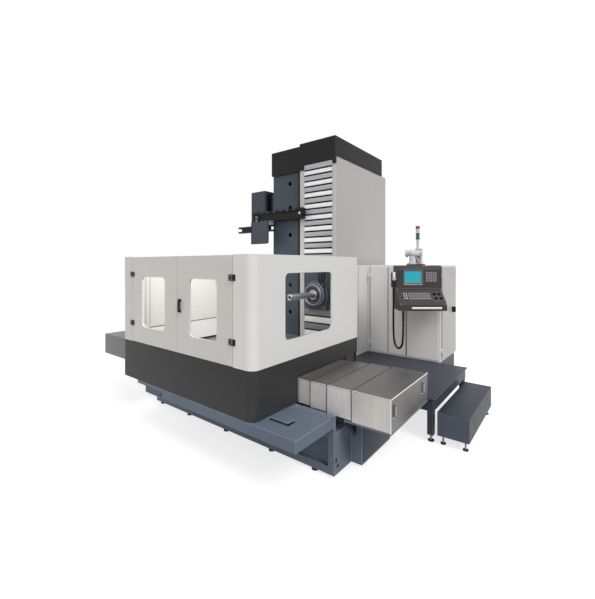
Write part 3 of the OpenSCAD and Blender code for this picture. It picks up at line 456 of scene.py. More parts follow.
def buildPaintSkin():
    # Sprayed enamel: a cloudy tone, a fine orange-peel height, dust that gathers low on the machine, rounded
    # edges, and a lighter line along them where the rounded and the flat normal part: partly rubbed wear,
    # partly painted highlight
    group, start, end = newGroup(
        "paintSkin",
        [("Colour", "NodeSocketColor", (0.5, 0.5, 0.5, 1)), ("Dust", "NodeSocketFloat", 0.2),
         ("Peel Scale", "NodeSocketFloat", 420.0), ("Cloud", "NodeSocketFloat", 0.05),
         ("Edge Radius", "NodeSocketFloat", 0.003), ("Edge Rub And Highlight", "NodeSocketFloat", 0.0)],
        [("Colour", "NodeSocketColor"), ("Roughness", "NodeSocketFloat"), ("Height", "NodeSocketFloat"),
         ("Normal", "NodeSocketVector")],
    )
    place = group.nodes.new("ShaderNodeTexCoord").outputs["Object"]
    cloud = noiseNode(group, skinValues["cloudScale"], 5)
    peel = noiseNode(group, 1, 2)
    streak = noiseNode(group, skinValues["streakScale"], 6)
    for texture in (cloud, peel, streak):
        group.links.new(place, texture.inputs["Vector"])
    group.links.new(start.outputs["Peel Scale"], peel.inputs["Scale"])
    lift = group.nodes.new("ShaderNodeSeparateXYZ")
    group.links.new(place, lift.inputs[0])
    low = mapped(group, lift.outputs["Z"], skinValues["dustHeight"], 0.0)
    grime = mathNode(group, "MULTIPLY", low, streak.outputs[0])
    dust = mathNode(group, "MULTIPLY", grime, start.outputs["Dust"])
    dusty = colourMix(group, dust, start.outputs["Colour"], skinValues["dustColour"])
    bright = brightened(group, dusty, swing(group, cloud, start.outputs["Cloud"]))
    rounded = group.nodes.new("ShaderNodeBevel")
    rounded.samples = 4
    group.links.new(start.outputs["Edge Radius"], rounded.inputs["Radius"])
    group.links.new(rounded.outputs[0], end.inputs["Normal"])
    flat = group.nodes.new("ShaderNodeNewGeometry")
    parting = group.nodes.new("ShaderNodeVectorMath")
    parting.operation = "DOT_PRODUCT"
    group.links.new(rounded.outputs[0], parting.inputs[0])
    group.links.new(flat.outputs["Normal"], parting.inputs[1])
    # a lighter line along the edges: partly rubbed wear, partly painted highlight
    rub = mapped(group, parting.outputs["Value"], skinValues["edgeLineFrom"], skinValues["edgeLineTo"])
    rub = mathNode(group, "MULTIPLY", rub, start.outputs["Edge Rub And Highlight"])
    rub = mathNode(group, "MULTIPLY", rub, mathNode(group, "ADD", streak.outputs[0], skinValues["edgeLineEven"]))
    wornAndHighlight = colourMix(group, rub, bright, skinValues["wornAndHighlightColour"])
    group.links.new(wornAndHighlight, end.inputs["Colour"])
    base, byStreak, byDust = skinValues["roughness"]
    rough = mathNode(group, "MULTIPLY", streak.outputs[0], byStreak)
    rough = mathNode(group, "ADD", rough, mathNode(group, "MULTIPLY", dust, byDust))
    group.links.new(mathNode(group, "ADD", rough, base), end.inputs["Roughness"])
    group.links.new(peel.outputs[0], end.inputs["Height"])
    return group


def buildBrushedGrain():
    # Rolled or ground metal: noise stretched along one direction, with broad smears of oil
    group, start, end = newGroup(
        "brushedGrain",
        [("Colour", "NodeSocketColor", (0.5, 0.5, 0.5, 1)), ("Stretch", "NodeSocketVector", (1, 1, 1)),
         ("Contrast", "NodeSocketFloat", 0.2), ("Smear", "NodeSocketFloat", 0.2)],
        [("Colour", "NodeSocketColor"), ("Roughness", "NodeSocketFloat"), ("Height", "NodeSocketFloat")],
    )
    place = group.nodes.new("ShaderNodeTexCoord").outputs["Object"]
    pull = group.nodes.new("ShaderNodeVectorMath")
    pull.operation = "MULTIPLY"
    group.links.new(place, pull.inputs[0])
    group.links.new(start.outputs["Stretch"], pull.inputs[1])
    grain = noiseNode(group, 1.0, grainValues["detail"])
    setInputs(grain, {"Roughness": grainValues["rough"]})
    group.links.new(pull.outputs[0], grain.inputs["Vector"])
    smear = noiseNode(group, grainValues["smearScale"], 6)
    setInputs(smear, {"Distortion": grainValues["smearBend"]})
    group.links.new(place, smear.inputs["Vector"])
    lines = swing(group, grain, start.outputs["Contrast"])
    clouds = swing(group, smear, start.outputs["Smear"])
    bright = brightened(group, start.outputs["Colour"], mathNode(group, "ADD", lines, clouds))
    group.links.new(bright, end.inputs["Colour"])
    base, bySmear, byLine = grainValues["roughness"]
    rough = mathNode(group, "ADD", mathNode(group, "MULTIPLY", clouds, bySmear), base)
    rough = mathNode(group, "ADD", rough, mathNode(group, "MULTIPLY", lines, byLine))
    group.links.new(rough, end.inputs["Roughness"])
    group.links.new(grain.outputs[0], end.inputs["Height"])
    return group


paintSkin = buildPaintSkin()
brushedGrain = buildBrushedGrain()


def startFinish(name, group, values):
    tree, body = newFinish(name)
    skin = tree.nodes.new("ShaderNodeGroup")
    skin.node_tree = group
    setInputs(skin, values)
    tree.links.new(skin.outputs["Colour"], body.inputs["Base Color"])
    tree.links.new(skin.outputs["Roughness"], body.inputs["Roughness"])
    return tree, skin, body


def addBump(tree, skin, body, strength, distance):
    bump = tree.nodes.new("ShaderNodeBump")
    setInputs(bump, {"Strength": strength, "Distance": distance})
    tree.links.new(skin.outputs["Height"], bump.inputs["Height"])
    if "Normal" in skin.outputs:
        tree.links.new(skin.outputs["Normal"], bump.inputs["Normal"])
    tree.links.new(bump.outputs[0], body.inputs["Normal"])


def paint(name, colour, dust=0.25, cloud=0.06, peel=420.0, bump=0.12, coat=0.0, shine=0.2, edge=0.002,
          rub=0.0):
    tree, skin, body = startFinish(
        name, paintSkin, {"Colour": tone(*colour), "Dust": dust, "Peel Scale": peel, "Cloud": cloud,
                          "Edge Radius": edge, "Edge Rub And Highlight": rub})
    addBump(tree, skin, body, strength=bump, distance=0.0006)
    setInputs(body, {"Specular IOR Level": shine, "Coat Weight": coat, "Coat Roughness": 0.25})
    return tree, skin


def metal(name, colour, stretch, contrast, smear, metallic=1.0):
    tree, skin, body = startFinish(
        name, brushedGrain,
        {"Colour": tone(*colour), "Stretch": stretch, "Contrast": contrast, "Smear": smear})
    addBump(tree, skin, body, strength=0.1, distance=0.0003)
    setInputs(body, {"Metallic": metallic})


def clearPane(name, colour, alpha, shine=0.3, roughness=0.03):
    setInputs(newFinish(name)[1], {"Base Color": tone(*colour), "Roughness": roughness,
                                   "Specular IOR Level": shine, "Alpha": alpha})


def objectPlace(tree):
    # The outputs X, Y and Z of the place on the object, in metres
    parted = tree.nodes.new("ShaderNodeSeparateXYZ")
    tree.links.new(tree.nodes.new("ShaderNodeTexCoord").outputs["Object"], parted.inputs[0])
    return parted.outputs


def stepPaint(name, colour, litFrontColour, shadedSideColour, reach, **values):
    # One paint in three shades, as painted light and shade: lighter within reach of the front, darker within
    # reach of the right side, and the plain colour on the rest
    tree, skin = paint(name, colour, **values)
    low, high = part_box("step_box")
    place = objectPlace(tree)
    atLitFront = mathNode(tree, "LESS_THAN", place["Y"], low[1] + reach)
    atShadedSide = mathNode(tree, "GREATER_THAN", place["X"], high[0] - reach)
    shade = colourMix(tree, atLitFront, tone(*colour), tone(*litFrontColour))
    tree.links.new(colourMix(tree, atShadedSide, shade, tone(*shadedSideColour)), skin.inputs["Colour"])


def footPaint(name, colour, discColour, level, **values):
    # A dark disc below the given height above the floor, a bright stem above it
    tree, skin = paint(name, colour, **values)
    above = mathNode(tree, "GREATER_THAN", objectPlace(tree)["Z"], level)
    tree.links.new(colourMix(tree, above, tone(*discColour), tone(*colour)), skin.inputs["Colour"])


def glow(name, colour, strength, roughness=0.2, speckleScale=60, speckleDepth=0.12):
    # A lit surface, a little darker in fine speckles
    tree, body = newFinish(name)
    setInputs(body, {"Roughness": roughness, "Emission Strength": strength})
    speckle = noiseNode(tree, speckleScale, 2)
    tree.links.new(tree.nodes.new("ShaderNodeTexCoord").outputs["Object"], speckle.inputs["Vector"])
    dark = mathNode(tree, "MULTIPLY", speckle.outputs[0], speckleDepth)
    shade = colourMix(tree, dark, tone(*colour), (0, 0, 0, 1))
    tree.links.new(shade, body.inputs["Base Color"])
    tree.links.new(shade, body.inputs["Emission Color"])


paintValues = {
    "whitePaint": dict(colour=(226, 225, 221), dust=0.10, cloud=0.03, shine=0.3),
    # painted shade: a darker copy of the side panel's white, on the doors and the left panel
    "doorPaint": dict(colour=(211, 210, 205), dust=0.10, cloud=0.03, shine=0.3),
    "panelPaint": dict(colour=(184, 181, 179), dust=0.08, cloud=0.04, shine=0.3),
    "cabinetPaint": dict(colour=(233, 230, 228), dust=0.10, cloud=0.04, shine=0.3),
    # painted shade: a darker copy of the cabinet's white, on the side door
    "cabinetSide": dict(colour=(184, 180, 177), dust=0.10, cloud=0.08, shine=0.3),
    "skirtPaint": dict(colour=(57, 57, 58), dust=0.08, cloud=0.10, bump=0.2, shine=0.12),
    "hoodPaint": dict(colour=(122, 121, 121), dust=0.06, cloud=0.2, shine=0.2),
    # painted shade for the dark panel on the bed's right side
    "navyPaint": dict(colour=(41, 51, 66), dust=0.04, cloud=0.2, bump=0.2, shine=0.14),
    "capPaint": dict(colour=(46, 46, 47), dust=0.0, cloud=0.10, bump=0.2, shine=0.08),
    "castingPaint": dict(colour=(98, 110, 125), dust=0.1, cloud=0.4, peel=260, bump=0.3, shine=0.14,
                         edge=0.012, rub=0.5),
    "columnPaint": dict(colour=(75, 85, 92), dust=0.04, cloud=0.4, peel=260, bump=0.3, shine=0.14,
                        edge=0.01, rub=0.3),
    "deckPaint": dict(colour=(55, 61, 72), dust=0.1, cloud=0.3, peel=180, bump=0.5, shine=0.12,
                      edge=0.01, rub=0.25),
    "stripPaint": dict(colour=(202, 201, 200), dust=0.0, cloud=0.04, shine=0.3),
    "blackPaint": dict(colour=(30, 30, 33), dust=0.05, cloud=0.1, shine=0.15),
    "consolePaint": dict(colour=(66, 64, 65), dust=0.03, cloud=0.05, peel=700, bump=0.25, shine=0.15),
    "armPaint": dict(colour=(206, 207, 207), dust=0.0, cloud=0.05, shine=0.3),
    "blackPlastic": dict(colour=(24, 24, 26), dust=0.03, cloud=0.1, peel=900, bump=0.2),
    "cordRubber": dict(colour=(22, 22, 24), dust=0.05, cloud=0.1, peel=900, bump=0.2),
    "redPlastic": dict(colour=(110, 40, 40), dust=0.02, cloud=0.04, peel=900, bump=0.1, coat=0.2),
    "collarPaint": dict(colour=(96, 100, 112), dust=0.04, cloud=0.2, bump=0.2, shine=0.3),
    "housingPaint": dict(colour=(70, 73, 81), dust=0.03, cloud=0.16, bump=0.2, shine=0.14),
    "sealGrey": dict(colour=(222, 222, 220), dust=0.0, cloud=0.05, peel=900, bump=0.1),
    "linerWhite": dict(colour=(226, 224, 221), dust=0.05, cloud=0.04),
    "bezelGrey": dict(colour=(112, 100, 103), dust=0.0, cloud=0.05, peel=900, bump=0.15),
    "plateGrey": dict(colour=(84, 80, 81), dust=0.0, cloud=0.06, peel=900, bump=0.15),
    "plateRed": dict(colour=(78, 66, 67), dust=0.0, cloud=0.06, peel=900, bump=0.15),
    "keyGrey": dict(colour=(168, 164, 165), dust=0.0, cloud=0.06, peel=900, bump=0.15),
    "lampWhite": dict(colour=(240, 238, 238), dust=0.0, cloud=0.04, peel=900, bump=0.1),
    "trimWhite": dict(colour=(238, 237, 236), dust=0.02, cloud=0.04, bump=0.1),
    "jointGrey": dict(colour=(128, 126, 124), dust=0.02, cloud=0.05),
    "jointDark": dict(colour=(46, 47, 50), dust=0.1, cloud=0.1, shine=0.1),
}

metalValues = {
    "coverSteel": dict(colour=(120, 118, 115), stretch=(160, 160, 4), contrast=0.4, smear=0.4,
                       metallic=0.6),
    # the side sheets: lighter copies of the cover steel as painted light, the inner segments' lighter still
    "coverSideInner": dict(colour=(226, 222, 218), stretch=(150, 150, 3), contrast=0.5, smear=0.4,
                           metallic=0.2),
    "coverSide": dict(colour=(200, 196, 192), stretch=(150, 150, 3), contrast=0.5, smear=0.4,
                      metallic=0.25),
    "noseSteel": dict(colour=(88, 88, 92), stretch=(50, 50, 50), contrast=0.2, smear=0.3),
    "slatSteel": dict(colour=(205, 205, 206), stretch=(4, 160, 160), contrast=0.2, smear=0.15),
    "groundSteel": dict(colour=(178, 179, 181), stretch=(40, 320, 40), contrast=0.2, smear=0.2),
    "trimSteel": dict(colour=(206, 204, 200), stretch=(40, 260, 40), contrast=0.15, smear=0.15),
    "brightSteel": dict(colour=(198, 197, 198), stretch=(60, 60, 60), contrast=0.25, smear=0.1),
    "chrome": dict(colour=(196, 195, 197), stretch=(50, 50, 50), contrast=0.3, smear=0.2),
    # lit and shaded copies of the slat steel, as painted light and shade
    "slatBright": dict(colour=(240, 239, 239), stretch=(4, 90, 160), contrast=0.1, smear=0.1, metallic=0.2),
    "slatGrey": dict(colour=(192, 191, 195), stretch=(4, 90, 160), contrast=0.14, smear=0.1, metallic=0.2),
    "slatDark": dict(colour=(160, 161, 163), stretch=(4, 90, 160), contrast=0.2, smear=0.1, metallic=0.4),
    "castIron": dict(colour=(120, 122, 124), stretch=(60, 60, 60), contrast=0.3, smear=0.3, metallic=0.7),
}

specialValues = {
    # painted light and shade on the step box: a lighter front and a darker right side
    "stepPaint": (stepPaint, dict(colour=(43, 50, 62), litFrontColour=(84, 93, 106), shadedSideColour=(22, 28, 37),
                                  reach=0.0015, dust=0.04, cloud=0.3, peel=180.0, bump=0.5, shine=0.12,
                                  edge=0.004, rub=0.15)),
    "footPaint": (footPaint, dict(colour=(150, 152, 154), discColour=(34, 36, 40), level=0.0145,
                                  dust=0.05, cloud=0.1, bump=0.15, shine=0.5)),
    "paneClear": (clearPane, dict(colour=(34, 42, 42), alpha=0.06)),
    "screenCyan": (glow, dict(colour=(4, 150, 164), strength=0.42)),
    "lampRed": (glow, dict(colour=(222, 196, 192), strength=0.05)),
    "lampGreen": (glow, dict(colour=(22, 104, 84), strength=0.05)),
}

for finishName, values in paintValues.items():
    paint(finishName, **values)
for finishName, values in metalValues.items():
    metal(finishName, **values)
for finishName, (maker, values) in specialValues.items():
    maker(finishName, **values)

nodeFinish = {
    "whitePaint": ["right_panel"],
    "doorPaint": ["left_panel", "left_door", "right_door"],
    "panelPaint": ["column_panel"],
    "cabinetPaint": ["cabinet", "cabinet_panels", "cabinet_front_door", "side_guard"],
    "cabinetSide": ["cabinet_side_door"],
    "skirtPaint": ["skirt", "cabinet_plinth"],
    "capPaint": ["column_cap"],
    "castingPaint": ["x_bed", "z_bed", "chip_tray"],
    "deckPaint": ["platform"],
    "stepPaint": ["step_box"],
    "columnPaint": ["column", "headstock"],
    "stripPaint": ["apron_guides"],
    "housingPaint": ["changer_housing", "changer_carriage"],
    "blackPaint": ["changer_arm"],
    "footPaint": ["levelling_feet"],
    "hoodPaint": ["left_hood"],
    "blackPlastic": ["door_handle", "door_hinges", "console_keys", "pendant", "changer_rail"],
    "consolePaint": ["console"],
    "armPaint": ["console_arm", "tower_light"],
    "coverSteel": ["right_cover_1", "right_cover_2", "right_cover_3", "right_cover_4", "right_cover_5",
                   "left_cover_1", "left_cover_2", "left_cover_3"],
    "slatSteel": ["upper_apron", "lower_apron"],
    "groundSteel": ["guide_rails", "ball_screws", "column_rails", "pendant_wheel"],
    "brightSteel": ["quill"],
    "noseSteel": ["spindle_nose"],
    "castIron": ["saddle", "rotary_table"],
    "paneClear": ["side_window", "left_door_window", "right_door_window"],
    "screenCyan": ["screen"],
    "lampRed": ["red_lens"],
    "lampGreen": ["green_lens"],
    "redPlastic": ["stop_button"],
    "cordRubber": ["pendant_cord"],
}


def dressNodes():
    for finishName, names in nodeFinish.items():
        for name in names:
            slots = nodes[name].material_slots
            for slot in slots:
                slot.material = finishes[finishName]
            if not len(slots):
                nodes[name].data.materials.append(finishes[finishName])


dressNodes()
print("finishes ready")

consolePlace = {
    "pivot": (310, 3235),
    "turn": 38,                 # degrees
    "face": -200,               # the upright face, in the console's own y
    "desk": (-300, 1580),       # middle of the sloping desk: own y, and height
    "deskSlope": math.atan2(206, 200),
}
consoleTurn = math.radians(consolePlace["turn"])
consoleRight = np.array([math.cos(consoleTurn), math.sin(consoleTurn), 0])
consoleBack = np.array([-math.sin(consoleTurn), math.cos(consoleTurn), 0])
consoleSeat = (consoleRight, (0, 0, 1))


def atConsole(x, y, z):
    # The console's own x, y and height as machine millimetres
    pivot = np.array([*consolePlace["pivot"], 0])
    return pivot + x * consoleRight + y * consoleBack + np.array([0, 0, z])


def onFace(shape, x, z, out=0.0):
    # Seats a shape on the upright face
    return seated(shape, atConsole(x, consolePlace["face"] - out, z), consoleSeat)


def onDesk(shape, x, y, out=0.0):
    # Seats a shape on the sloping desk: x along it, y up the slope
    slope = consolePlace["deskSlope"]
    up = consoleBack * math.cos(slope) + np.array([0, 0, math.sin(slope)])
    normal = np.cross(consoleRight, up)
    middle = atConsole(0, *consolePlace["desk"])
    return seated(shape, middle + x * consoleRight + y * up + out * normal, (consoleRight, up))


cordValues = {
    "diameter": 0.030,
    "sides": 14,
    "sleeve": (0.0185, 0.002, 0.0012, 16),      # radius, taper, depth of the ribs, points along it
    # the route in the console's own millimetres, as the solids have it
    "route": [(-352, -216, 1716), (-352, -216, 1660), (-353, -218, 1580), (-355, -222, 1480),
              (-357, -226, 1380), (-359, -231, 1280), (-360, -236, 1180), (-360, -242, 1080),
              (-358, -250, 990), (-352, -262, 915), (-338, -276, 858), (-318, -289, 826),
              (-296, -300, 818), (-274, -312, 832), (-258, -325, 868), (-250, -335, 925),
              (-247, -343, 1000), (-246, -349, 1090), (-246, -353, 1180), (-246, -355, 1270),
              (-246, -356, 1340), (-246, -356, 1369)],
}


def addCord():
    v = cordValues
    path = smoothPath([spot(*atConsole(*p)) for p in v["route"]], 6)
    shape = tube(path, v["diameter"] / 2, v["sides"])
    cord = addPiece("pendantCordSmooth", shape, "cordRubber", "console_unit")
    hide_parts("pendant_cord")
    # ribbed sleeves where the cord leaves the pendant and enters the console
    radius, taper, rib, count = v["sleeve"]
    radii = radius - taper * np.linspace(0, 1, count) + rib * np.cos(np.arange(count) * math.pi)
    sleeves = [tube(end, radii, 16) for end in (path[:count], path[::-1][:count])]
    sleeve = addPiece("cordSleeves", sleeves, "cordRubber", "console_unit")


addCord()


def addBlocks(blocks):
    # Pieces made of runs of soft blocks: each run is a block's size, its seat and its places
    for name, (finish, body, *runs) in blocks.items():
        shapes = [spread(softBlock(*size), places, seat) for size, seat, *places in runs]
        addPiece(name, shapes, finish, body)


def boltCircle(middle, radius, count, first=0):
    # Places on an upright circle that faces the doors; the first one at an angle above the right
    x, y, z = middle
    return [(x + radius * math.cos(a), y, z + radius * math.sin(a))
            for a in np.radians(np.arange(count) * 360 / count + first)]


apronValues = {
    "left": -1451, "right": -867,       # mm along x
    "crest": 2733.5, "valley": 2745, "groove": 2751,
    "grooveHeight": 27, "sheet": 3,     # the sheet behind the slats
    "edge": (4, 5),                     # depth and height of a slat's drawn-in edge
    "bow": 2,                           # how far a slat's middle stands out
    "lean": 0.5,                        # by which a groove's floor is shorter at each end
    "blendY": 2740,
    # fixed end, end at the headstock, the shaded finish that every other slat takes as painted shade, pitch
    "upper": (3838, 2060, "slatGrey", 95),
    "lower": (560, 1299.7, "slatDark", 120),
}

stripBlocks = {
    # name: (finish, body, runs of ((width, height, depth, corner, edge), seat, places))
    # painted shadow: a black strip between the column's side and the apron guide stands for the shadow gap
    # there
    "stripShadowGap": ("blackPlastic", "column_unit", ((46, 3050, 27.5, 4, 3), frontSeat, (-1567, 2760, 2225))),
    "capCorner": ("capPaint", "column_unit", ((92, 88, 14.6, 2, 1), frontSeat, (-1498, 2735, 3796))),
}


def addApron(name, node, fixed, moving, shade, pitch):
    # Slats that lean out and in by turns with a groove between them: one zigzag profile over z,
    # carried along x
    v = apronValues
    low, high = min(fixed, moving), max(fixed, moving)
    count = 2 * round((high - low) / pitch / 2)
    edges = np.linspace(low, high, count + 1)
    half = v["grooveHeight"] / 2
    draw, rise = v["edge"]
    profile = [(v["groove"], low)]
    for i in range(count):
        a, b = (v["valley"], v["crest"]) if i % 2 else (v["crest"], v["valley"])
        z0, z1 = edges[i] + half * (i > 0), edges[i + 1] - half * (i < count - 1)
        middle = ((a + b) / 2 - v["bow"], (z0 + z1) / 2)
        profile += [(a + draw, z0), (a, z0 + rise), middle, (b, z1 - rise), (b + draw, z1)]
        if i < count - 1:
            profile += [(v["groove"], z1 + v["lean"]), (v["groove"], z1 + v["grooveHeight"] - v["lean"])]
    back = v["groove"] + v["sheet"]
    profile += [(v["groove"], high), (back, high), (back, low)]
    points, faces = carried(profile, v["right"] - v["left"])
    piece = addPiece(name, (spot(v["left"], 0, 0) + points / 1000, faces), "slatBright", None, smooth=False)
    # the shaded finish and black paint carry painted shade and shadow
    for extra in (shade, "blackPaint"):
        piece.data.materials.append(finishes[extra])
    for face in piece.data.polygons:
        depth, height = np.mean([piece.data.vertices[i].co[1:] for i in face.vertices], axis=0)
        depth, height = (depth - cornerY) * 1000, height * 1000
        along = (height - low) / (high - low) * count
        inGroove = abs(height - edges[round(along)]) < half or depth > v["groove"]
        # painted light and shade: slats alternate between the lit and the shaded finish, and the grooves and
        # back sheet take black paint as painted shadow
        face.material_index = 2 if inGroove else min(count - 1, int(along)) % 2
    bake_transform(piece)
    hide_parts(node)


addApron("upperSlats", "upper_apron", *apronValues["upper"])
addApron("lowerSlats", "lower_apron", *apronValues["lower"])
addBlocks(stripBlocks)
print("aprons")


doorValues = {
    "hinges": (1325, 1950),     # heights
    "pins": {"door_left": (-2190, 1), "door_right": (-270, -1)},    # axis, side on which the door lies
    # blocks of the door's leaf and the fixed one, and how far each one's middle is from the axis
    "doorLeaf": (40, 62, 9.4, 3, 2), "doorOut": 33,
    "fixedLeaf": (25, 62, 9.4, 3, 2), "fixedOut": 25.5,
    "barrel": (11.8, 18.6, -11, 20.6),      # radius, height, y of the axis, lift of the fixed sleeves
    "screw": (4.2, 2.2, 19),                # radius, height, lift
}

sealValues = {
    "corner": 65,
    "profile": [(-0.5, -14), (-0.5, 0.6), (1.5, 1.8), (5, 1.4), (7, -1), (7, -14)],     # (inset, out)
    "windows": {
        # name: (width, height, seat, middle, body)
        "leftDoorSeal": (515, 640, frontSeat, (-1693, 0, 1610), "door_left"),
        "rightDoorSeal": (467, 640, frontSeat, (-736, 0, 1610), "door_right"),
        "sideSeal": (895, 705, sideSeat, (0, 909.5, 1640.5), "frame"),
    },
}


def atHinges(x, y, *lifts):
    # Places at every hinge's height, moved up by each lift
    return [(x, y, z + lift) for z in doorValues["hinges"] for lift in lifts]


def addHingeDress():
    v = doorValues
    radius, tall, barrelY, sleeveLift = v["barrel"]
    rim, end = radius - 1, tall / 2
    ring = turned([(0, -end), (rim, -end), (radius, 1 - end), (radius, end - 1), (rim, end), (0, end)], 24)
    wide, high, screwLift = v["screw"]
    screw = turned([(0, 0), (wide, 0), (wide * 0.75, high), (0, high)], 16)
    leaf, plate = softBlock(*v["doorLeaf"]), softBlock(*v["fixedLeaf"])
    for body, (axis, side) in v["pins"].items():
        leafX, plateX = axis + side * v["doorOut"], axis - side * v["fixedOut"]
        screws = atHinges(leafX, -v["doorLeaf"][2], -screwLift, screwLift)
        barrels = atHinges(axis, barrelY, 0)
        sleeves = atHinges(axis, barrelY, -sleeveLift, sleeveLift)
        addPiece("hingeLeaves_" + body, spread(leaf, atHinges(leafX, 0, 0)), "blackPlastic", body)
        addPiece("hingePlates_" + body, spread(plate, atHinges(plateX, 0, 0)), "blackPlastic", "frame")
        addPiece("hingeBarrels_" + body, spread(ring, barrels, topSeat), "noseSteel", body)
        addPiece("hingeSleeves_" + body, spread(ring, sleeves, topSeat), "noseSteel", "frame")
        addPiece("hingeScrews_" + body, spread(screw, screws), "groundSteel", body)


def addWindowSeals():
    # A soft lip round each opening, standing just inside its edge
    for name, (width, height, seat, place, body) in sealValues["windows"].items():
        seal = framed(width, height, sealValues["corner"], sealValues["profile"], 8)
        addPiece(name, seated(seal, place, seat), "sealGrey", body)


linerValues = {
    "width": 2460, "wall": 30,              # the enclosure's width and its skirt's wall
    "gap": 2, "thick": 3, "corner": 58,
    # low, high and rear end: below the height of the way covers the sheet ends at them
    "sheets": [(892, 1187, 1960), (645, 892, 676)],
    "lip": (1, 6, 12, 2),       # gap to the skirt, thickness, reach below the sheet's top and above it
}

wallBlocks = {
    "wallSeams": ("jointGrey", "frame",
                  ((7, 880, 2, 1, 0.6), sideSeat, (-2430, 314, 1680), (-2430, 376, 1680))),
}


def planLine(inset, radius, far):
    # The enclosure's inner plan from the rear of the left wall round the front to the rear of the right wall
    angle = np.radians(np.linspace(0, 90, 9))
    width = linerValues["width"]
    centre = inset + radius
    leftArc = np.column_stack([-width + centre - radius * np.cos(angle), centre - radius * np.sin(angle)])
    rightArc = np.column_stack([-centre + radius * np.sin(angle), centre - radius * np.cos(angle)])
    return np.vstack([[-width + inset, far], leftArc, rightArc, [-inset, far]])


def planWall(gap, thick, radius, far, low, high):
    # A thin wall carried up from the plan line, at a gap inside the skirt
    inset = linerValues["wall"] + gap
    loop = np.vstack([planLine(inset, radius, far), planLine(inset + thick, radius - thick, far)[::-1]])
    rings = np.stack([np.column_stack([loop, np.full(len(loop), z)]) for z in (low, high)])
    points, faces = outward(closedStack(rings))
    return spot(0, 0, 0) + points / 1000, faces


def addLiner():
    # White sheet inside the skirt, and a dark lip over its top edge
    v = linerValues
    sheets = [planWall(v["gap"], v["thick"], v["corner"], far, low, high) for low, high, far in v["sheets"]]
    addPiece("skirtLiner", sheets, "linerWhite", "frame")
    gap, thick, below, above = v["lip"]
    top, far = v["sheets"][0][1:]
    lip = planWall(gap, thick, v["corner"] + v["gap"] - gap, far, top - below, top + above)
    addPiece("linerLip", lip, "jointGrey", "frame", smooth=False)


addHingeDress()
addWindowSeals()
addLiner()
addBlocks(wallBlocks)
print("doors and windows")


coverValues = {
    "near": 686, "far": 1695, "top": 866, "low": 566, "step": 8,
    # a wiper over a leading edge: start before the edge, width, how far it stands out and reaches in
    "wiper": (1, 7, 1.6, 0.6),
    "edges": {
        # node: (leading edge, steps in from the outermost, body)
        "right_cover_1": (637, 0, "frame"), "right_cover_2": (351, 1, "right_segment_2"),
        "right_cover_3": (140, 2, "right_segment_3"),
    },
    # sheets and strips stand out less than the 0.3 mm that the next segment's lip leaves free
    "sheetOut": 0.2, "highlightStripWidth": 14,
    "free": (3, 5),         # what a sheet leaves free at its foot and its head
    "sheets": {
        # node: (left, right, steps in from the outermost, body)
        "right_cover_1": (645, 1034, 0, "frame"), "right_cover_2": (359, 636, 1, "right_segment_2"),
        "right_cover_3": (148, 350, 2, "right_segment_3"), "right_cover_4": (-60, 139, 3, "right_segment_4"),
    },
}

coverBlocks = {
    # the black strip over the slot between the skirt and the first segment, and the skirt behind the covers
    "coverWiper": ("jointDark", "frame", ((998, 25, 10, 4, 2), sideSeat, (-14, 1191, 881.5))),
    "skirtFill": ("skirtPaint", "frame", ((206, 274, 20, 4, 2), sideSeat, (-24, 1805, 757)),
                  ((372, 274, 20, 4, 2), frontSeat, (-192, 1986, 757))),
}


def segmentFaces(k):
    # Near, far, top and low of the segment that is k steps in from the outermost
    v, inset = coverValues, k * coverValues["step"]
    return v["near"] + inset, v["far"] - inset, v["top"] - inset, v["low"] + inset


def addEdgeWipers():
    # A dark wiper over each segment's leading edge: an upside-down U carried along x
    before, width, out, reach = coverValues["wiper"]
    for node, (edge, k, body) in coverValues["edges"].items():
        near, far, top, low = segmentFaces(k)
        left, right, roof = near - out, far + out, top + out
        outer = [(left, low), (left, roof - 1), (left + 1, roof), (right - 1, roof), (right, roof - 1),
                 (right, low)]
        left, right, roof = near + reach, far - reach, top - reach
        inner = [(right, low), (right, roof), (left, roof), (left, low)]
        points, faces = carried(outer + inner, width)
        wiper = (spot(edge - before, 0, 0) + points / 1000, faces)
        addPiece("edgeWiper_" + node, wiper, "jointDark", body, smooth=False)


def addSegmentSheets():
    # Brushed sheets on each segment's near and far sides, lighter than the cover steel as painted light, and
    # a painted highlight strip along the near top edge
    v = coverValues
    for node, (left, right, k, body) in v["sheets"].items():
        near, far, top, low = segmentFaces(k)
        low, high = low + v["free"][0], top - v["free"][1]
        sheet = softBlock(right - left, high - low, v["sheetOut"], 2, 0.1)
        x, z = (left + right) / 2, (low + high) / 2
        sheets = [seated(sheet, (x, near, z)), seated(sheet, (x, far, z), rearSeat)]
        addPiece("litSideSheets_" + node, sheets, "coverSideInner" if k else "coverSide", body, smooth=False)
        # painted highlight: a bright strip along the near top edge
        strip = softBlock(right - left, v["highlightStripWidth"], v["sheetOut"], 0.5, 0.1)
        strip = seated(strip, (x, near + v["highlightStripWidth"] / 2, top), topSeat)
        addPiece("edgeHighlightStrip_" + node, strip, "slatBright", body, smooth=False)


endValues = {
    "place": 1038,
    "bolt": (9, 8), "bolts": [(742, 690), (1512, 690), (1555, 798)],
    # pull rods: a bar bent in at both ends, as (x, z)
    "rodYs": (760, 1530), "rodRadius": 0.0052,
    "rodRoute": [(1036, 800), (1046, 800), (1053, 793), (1055, 750), (1053, 707), (1046, 700), (1036, 700)],
    "edgeRadius": 0.0048, "edgeGap": 3,
}


